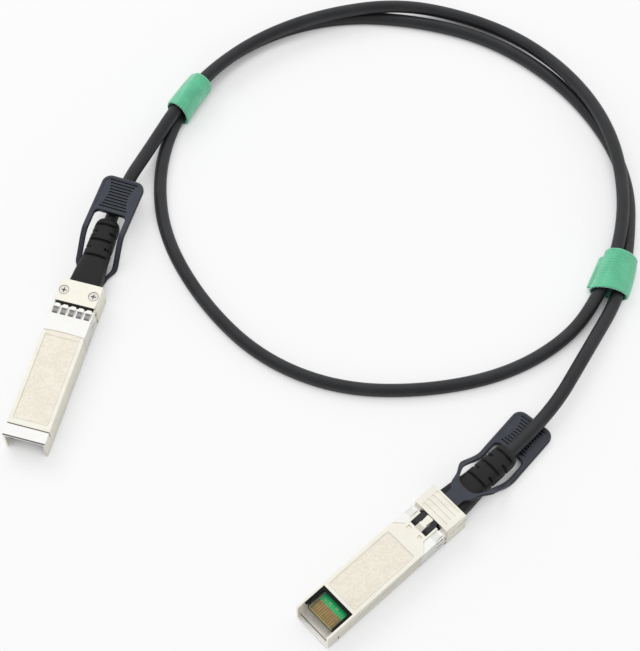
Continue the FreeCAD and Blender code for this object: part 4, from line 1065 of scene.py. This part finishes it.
def pull_tab_mesh(plug):
    """The tab: its fork and ears as the solid has them, then a smooth stem, straps and ridged plate."""
    place, size = plug_frame(plug), bpy.context.scene.tab_sizes
    hood, low = reach(plug, "rear_cover")[1].x, reach(plug, "pull_tab")[0].z
    front = hood + size.stem_length / MM
    back = front + size.window_length / MM
    end, half, stem = back + size.plate_length / MM, size.half_width / MM, size.stem_width / 2 / MM
    inner = half - size.strap_width / MM
    thick, thin, rim = 1.7, 0.95, 0.14    # the plate, the stem, and the depth of the plate's wells
    outline = mirrored([(hood - 0.6, -stem, 0.0), (front - 3.4, -stem, 2.2), (front - 1.6, -stem - 1.5, 3.0),
                        (front + 1.4, -half + 1.95, 3.0), (front + 4.6, -half, 3.5), (end, -half, 3.0)])
    window = mirrored([(front, -1.8, 4.0), (front + 1.1, -3.7, 4.0), (front + 4.2, -inner, 4.0),
                       (back, -inner, 1.5)])
    shape = carved(flat_shape([outline, window], -thick / 2, thick / 2, 0.42, 3),
                   grip_cutters(back, end, half, thick, rim))
    # Flat faces take the face finish; the sides and rounded edges take the rim finish, painted darker as
    # shade.
    for part in shape.faces:
        groove = abs(part.calc_center_median().z) < thick / 2 - rim - 0.1
        part.material_index = 1 if abs(part.normal.z) > 0.97 and not groove else 0
        part.smooth = abs(part.normal.z) < 0.999
    x = hood + 1.0
    while x < back - 0.3:
        bmesh.ops.bisect_plane(shape, geom=all_of(shape), plane_co=(x, 0, 0), plane_no=(1, 0, 0))
        x += 0.55
    turn = math.radians(-2.7 if plug == "plug_a" else -6.6)
    start, finish, plate = front + 3.2, front + 14.2, 2.5 + thick / 2
    stem_level = low + thin / 2
    for vertex in shape.verts:
        x, y, z = vertex.co
        sheet = thin + (thick - thin) * eased(x, start + 2, finish + 1)
        height = stem_level + (plate - stem_level) * eased(x, start, finish) + z * sheet / thick
        swing = turn * eased(x, finish - 3.0, finish + 3.0)
        away = max(0.0, x - finish)
        vertex.co = (min(x, finish) + away * math.cos(swing) - y * math.sin(swing),
                     away * math.sin(swing) + y * math.cos(swing), height)
    bmesh.ops.transform(shape, matrix=place @ Matrix.Scale(MM, 4), verts=shape.verts)

    fork = solid_shape(plug + "_pull_tab")
    keep_front(fork, place @ Vector(((hood - 0.5) * MM, 0, 0)), place.to_3x3() @ Vector((1, 0, 0)))
    for part in fork.faces:
        part.material_index = 0
    joined(shape, fork)
    return made(plug + "_smooth_pull_tab", shape)


# ---------------------------------------------------------------- small trim


def trim_mesh(name, plug, plates):
    """Flat plates with rounded edges in one mesh, each (outline, bottom, top, edge) in the plug's frame."""
    shape = bmesh.new()
    for outline, bottom, top, edge in plates:
        joined(shape, flat_shape([outline], bottom, top, edge, 2))
    for face in shape.faces:
        face.smooth = abs(face.normal.z) < 0.999
    bmesh.ops.transform(shape, matrix=plug_frame(plug) @ Matrix.Scale(MM, 4), verts=shape.verts)
    return made(name, shape)


def spring_strips(plug):
    """The two zigzag strips of a plug as one piece, with their sharp edges eased."""
    shape = solid_shape(plug + "_return_springs")
    sharp = [edge for edge in shape.edges if len(edge.link_faces) == 2 and edge.calc_face_angle(0.0) > 0.6]
    bmesh.ops.bevel(shape, geom=sharp, offset=0.03 * MM, segments=2, affect="EDGES", clamp_overlap=True)
    return made(plug + "_spring_strips", shape)


# ---------------------------------------------------------------- operators


class LayCable(bpy.types.Operator):
    """Lay the black jacket along its route"""
    bl_idname = "attach_cable.lay_cable"
    bl_label = "Lay the cable"

    def execute(self, context):
        curve = bpy.data.curves.new("cable_jacket", "CURVE")
        curve.dimensions = "3D"
        curve.resolution_u = 16
        curve.bevel_depth = sizes().diameter / 2
        curve.bevel_resolution = 7
        curve.use_fill_caps = True
        spline = curve.splines.new("NURBS")
        spline.points.add(len(ROUTE) - 1)
        for knot, place in zip(spline.points, ROUTE):
            knot.co = (*place, 1.0)
        spline.order_u = 3
        spline.use_endpoint_u = True
        spline.use_smooth = True
        jacket = linked("cable_jacket", curve)
        fit(jacket, [jacket_finish()], "cable_assembly", "twinax_cable")
        return {"FINISHED"}


class WindWraps(bpy.types.Operator):
    bl_idname = "attach_cable.wind_wraps"
    bl_label = "Wind the wraps"

    def execute(self, context):
        size = context.scene.wrap_sizes
        line, finish, wraps = route_line(), tape_finish(), []
        for side, middle, heading in (("left", size.left, size.left_heading),
                                      ("right", size.right, size.right_heading)):
            wrap = wrap_mesh(side + "_wrap", line, middle, heading)
            fit(wrap, [finish], "cable_assembly", "cable_tie_" + side)
            wraps.append(wrap)
        loose = loose_end_mesh("right_wrap_loose_end", line, size.right, size.right_heading)
        fit(loose, [finish], "cable_assembly")
        wraps.append(loose)
        return {"FINISHED"}


class FinishShells(bpy.types.Operator):
    """Plate the cast shells and hoods of both plugs"""
    bl_idname = "attach_cable.finish_shells"
    bl_label = "Finish the shells"

    def execute(self, context):
        for plug in PLUGS:
            finish = shell_finish(plug)
            dress(plug + "_lower_shell", finish, 0.10)
            dress(plug + "_upper_shell", finish, 0.10)
            dress(plug + "_rear_cover", hood_finish(plug), 0.10)
        return {"FINISHED"}


class FinishCollars(bpy.types.Operator):
    """Give the spring-finger collars their bright sheet finish"""
    bl_idname = "attach_cable.finish_collars"
    bl_label = "Finish the collars"

    def execute(self, context):
        for plug in PLUGS:
            dress(plug + "_emi_collar", collar_finish(plug), 0.05)
        return {"FINISHED"}


class FinishBoots(bpy.types.Operator):
    """Make the strain relief boots and finish the wires in front of them"""
    bl_idname = "attach_cable.finish_boots"
    bl_label = "Finish the boots"

    def execute(self, context):
        rubber, insulation = rubber_finish(), wire_finish()
        for plug in PLUGS:
            fit(boot_mesh(plug), [rubber], "cable_assembly", plug + "_strain_relief_boot")
            dress(plug + "_signal_wires", insulation, 0.0)
        return {"FINISHED"}


class FinishPullTabs(bpy.types.Operator):
    """Mould the pull tabs in slate plastic"""
    bl_idname = "attach_cable.finish_pull_tabs"
    bl_label = "Finish the pull tabs"

    def execute(self, context):
        # The rim finish is the face's colour painted darker, as shade on the tab's rounded edges and sides.
        rim, face = tab_finish("rim", 0.15, 0.22), tab_finish("face", 0.34, 1.75)
        for plug in PLUGS:
            fit(pull_tab_mesh(plug), [rim, face], "pull_tab_" + plug[-1], plug + "_pull_tab")
        return {"FINISHED"}


class FinishCards(bpy.types.Operator):
    """Finish the paddle cards, their contacts and the parts soldered on them"""
    bl_idname = "attach_cable.finish_cards"
    bl_label = "Finish the cards"

    def execute(self, context):
        gold, chips = gold_finish(), component_finish()
        for plug in PLUGS:
            dress(plug + "_paddle_card", card_finish(plug), 0.06)
            dress(plug + "_contact_pads", gold, 0.01)
            dress(plug + "_card_components", chips, 0.05)
        return {"FINISHED"}


class FitTrim(bpy.types.Operator):
    """Fit the black sheets round the cards, the latch tongues and the finger tips of the collars"""
    bl_idname = "attach_cable.fit_trim"
    bl_label = "Fit the trim"

    def execute(self, context):
        black_sheet = black_sheet_finish()
        for plug in PLUGS:
            sheet, nickel = (bpy.data.materials[plug + kind] for kind in (" collar sheet", " nickel hood"))
            card, top = reach(plug, "paddle_card")[0].z, reach(plug, "upper_shell")[1].z
            back = reach(plug, "emi_collar")[1].x + 0.1
            sheet_outline = [(2.7, -6.04, 0.05), (10.37, -6.04, 0.05), (10.37, 6.04, 0.05), (2.7, 6.04, 0.05),
                    (2.7, 5.35, 0.1), (9.4, 5.1, 0.3), (9.4, -5.1, 0.3), (2.7, -5.35, 0.1)]
            tongue = [(back - 2.1, -1.0, 0.3), (back + 1.05, -1.25, 0.5),
                      (back + 1.05, 1.25, 0.5), (back - 2.1, 1.0, 0.3)]
            tips = []
            for number in range(-2, 3):
                y = number * FINGER_PITCH
                tip = block(back - 0.75, back + 0.42, y - 0.95, y + 0.95, 0.05, 0.6)
                tips.append((tip, top - 0.14, top + 0.10, 0.08))
            for name, finish, slot, plates in (
                    ("_card_seal", black_sheet, "component_black", [(sheet_outline, card - 2.08, card - 1.57, 0.06)]),
                    ("_latch_tongue", nickel, "collar_sheet", [(tongue, card - 2.69, card - 2.21, 0.16)]),
                    ("_finger_tips", sheet, "collar_sheet", tips)):
                fit(trim_mesh(plug + name, plug, plates), [finish], "cable_assembly")
        return {"FINISHED"}


class FinishFasteners(bpy.types.Operator):
    """Finish the cover screws, return springs and crimp ferrules"""
    bl_idname = "attach_cable.finish_fasteners"
    bl_label = "Finish the fasteners"

    def execute(self, context):
        steel = steel_finish()
        for plug in PLUGS:
            dress(plug + "_cover_screws", screw_finish(plug), 0.05)
            dress(plug + "_crimp_ferrule", steel, 0.08)
            spring, slide = spring_strips(plug), f"pull_tab_{plug[-1]}_slide"
            fit(spring, [steel], "cable_assembly", plug + "_return_springs")
            start, end = (corner.x * MM for corner in reach(plug, "return_springs"))
            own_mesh(spring)
        return {"FINISHED"}


class SetStage(bpy.types.Operator):
    """Set the pale floor, the soft light and the camera"""
    bl_idname = "attach_cable.set_stage"
    bl_label = "Set the stage"

    def execute(self, context):
        scene, stage = context.scene, context.scene.stage_settings
        side, level = 4.0, -0.02 * MM
        mesh = bpy.data.meshes.new("floor")
        mesh.from_pydata([(-side, -side, level), (side, -side, level), (side, side, level),
                          (-side, side, level)], [], [(0, 1, 2, 3)])
        mesh.materials.append(floor_finish())
        linked("floor", mesh)

        world = bpy.data.worlds.new("soft surround")
        scene.world = world
        world.use_nodes = True
        tree = world.node_tree
        tree.nodes.clear()
        path = tree.nodes.new("ShaderNodeLightPath")
        seen = maths(tree, "MAXIMUM", path.outputs["Is Camera Ray"], path.outputs["Is Glossy Ray"])
        seen = maths(tree, "MAXIMUM", seen, path.outputs["Is Transmission Ray"])
        east, north, _ = split(tree, add(tree, "ShaderNodeTexCoord").outputs["Generated"])
        glow = spread(tree, swayed(tree, north, east, -0.25), -0.05, 0.25, 0.48, 1.0, smooth=True)
        glow = spread(tree, path.outputs["Is Camera Ray"], 0.0, 1.0, glow, 0.95)
        strength = spread(tree, seen, 0.0, 1.0, stage.sky, glow)
        shine = add(tree, "ShaderNodeBackground", {"Color": (1.0, 1.0, 1.0, 1.0), "Strength": strength})
        way_out = tree.nodes.new("ShaderNodeOutputWorld")
        tree.links.new(shine.outputs[0], way_out.inputs["Surface"])

        lamp = bpy.data.lights.new("soft_lamp", "AREA")
        lamp.shape = "DISK"
        lamp.size = 1.6
        lamp.energy = stage.lamp
        holder = linked("soft_lamp", lamp)
        holder.location = (-1.1, 1.0, 2.0)
        holder.visible_glossy = False
        middle_of_cable = Vector((0.08, 0.03, 0.0))
        aim = middle_of_cable - holder.location
        holder.rotation_euler = aim.to_track_quat("-Z", "Y").to_euler()

        lens = bpy.data.cameras.new("camera")
        lens.lens = stage.lens
        lens.sensor_width = 36.0
        lens.clip_start, lens.clip_end = 0.01, 20.0
        camera = linked("camera", lens)
        eye, goal = Vector(stage.eye), Vector(stage.aim)
        look = (goal - eye).to_track_quat("-Z", "Y").to_matrix().to_4x4()
        camera.matrix_world = Matrix.Translation(eye) @ look @ Matrix.Rotation(stage.roll, 4, "Z")
        scene.camera = camera
        scene.view_settings.view_transform = "Standard"
        return {"FINISHED"}


PIECES = (LayCable, WindWraps, FinishShells, FinishCollars, FinishBoots, FinishPullTabs, FinishCards,
          FitTrim, FinishFasteners, SetStage)
GROUPS = {"cable_sizes": CableSizes, "wrap_sizes": WrapSizes, "tab_sizes": TabSizes,
          "finish_colours": FinishColours, "stage_settings": StageSettings}


class CablePanel(bpy.types.Panel):
    """Lists the cable's pieces and their sizes and colours"""
    bl_idname = "VIEW3D_PT_attach_cable"
    bl_label = "Direct attach cable"
    bl_space_type = "VIEW_3D"
    bl_region_type = "UI"
    bl_category = "Cable"

    def draw(self, context):
        for title, name in zip(("Cable", "Wraps", "Pull tabs", "Finishes", "Stage"), GROUPS):
            box, group = self.layout.box(), getattr(context.scene, name)
            box.label(text=title)
            for key in group.bl_rna.properties.keys():
                if key not in {"rna_type", "name"}:
                    box.prop(group, key)
        for piece in PIECES:
            self.layout.operator(piece.bl_idname)


def register():
    for kind in (*GROUPS.values(), *PIECES, CablePanel):
        bpy.utils.register_class(kind)
    for name, kind in GROUPS.items():
        setattr(bpy.types.Scene, name, bpy.props.PointerProperty(type=kind))


def unregister():
    for name in GROUPS:
        delattr(bpy.types.Scene, name)
    for kind in reversed((*GROUPS.values(), *PIECES, CablePanel)):
        bpy.utils.unregister_class(kind)


def main():
    register()
    bpy.ops.attach_cable.lay_cable()
    bpy.ops.attach_cable.wind_wraps()
    bpy.ops.attach_cable.finish_shells()
    bpy.ops.attach_cable.finish_collars()
    bpy.ops.attach_cable.finish_boots()
    bpy.ops.attach_cable.finish_pull_tabs()
    bpy.ops.attach_cable.finish_cards()
    bpy.ops.attach_cable.fit_trim()
    bpy.ops.attach_cable.finish_fasteners()
    bpy.ops.attach_cable.set_stage()


if __name__ == "__main__":
    main()
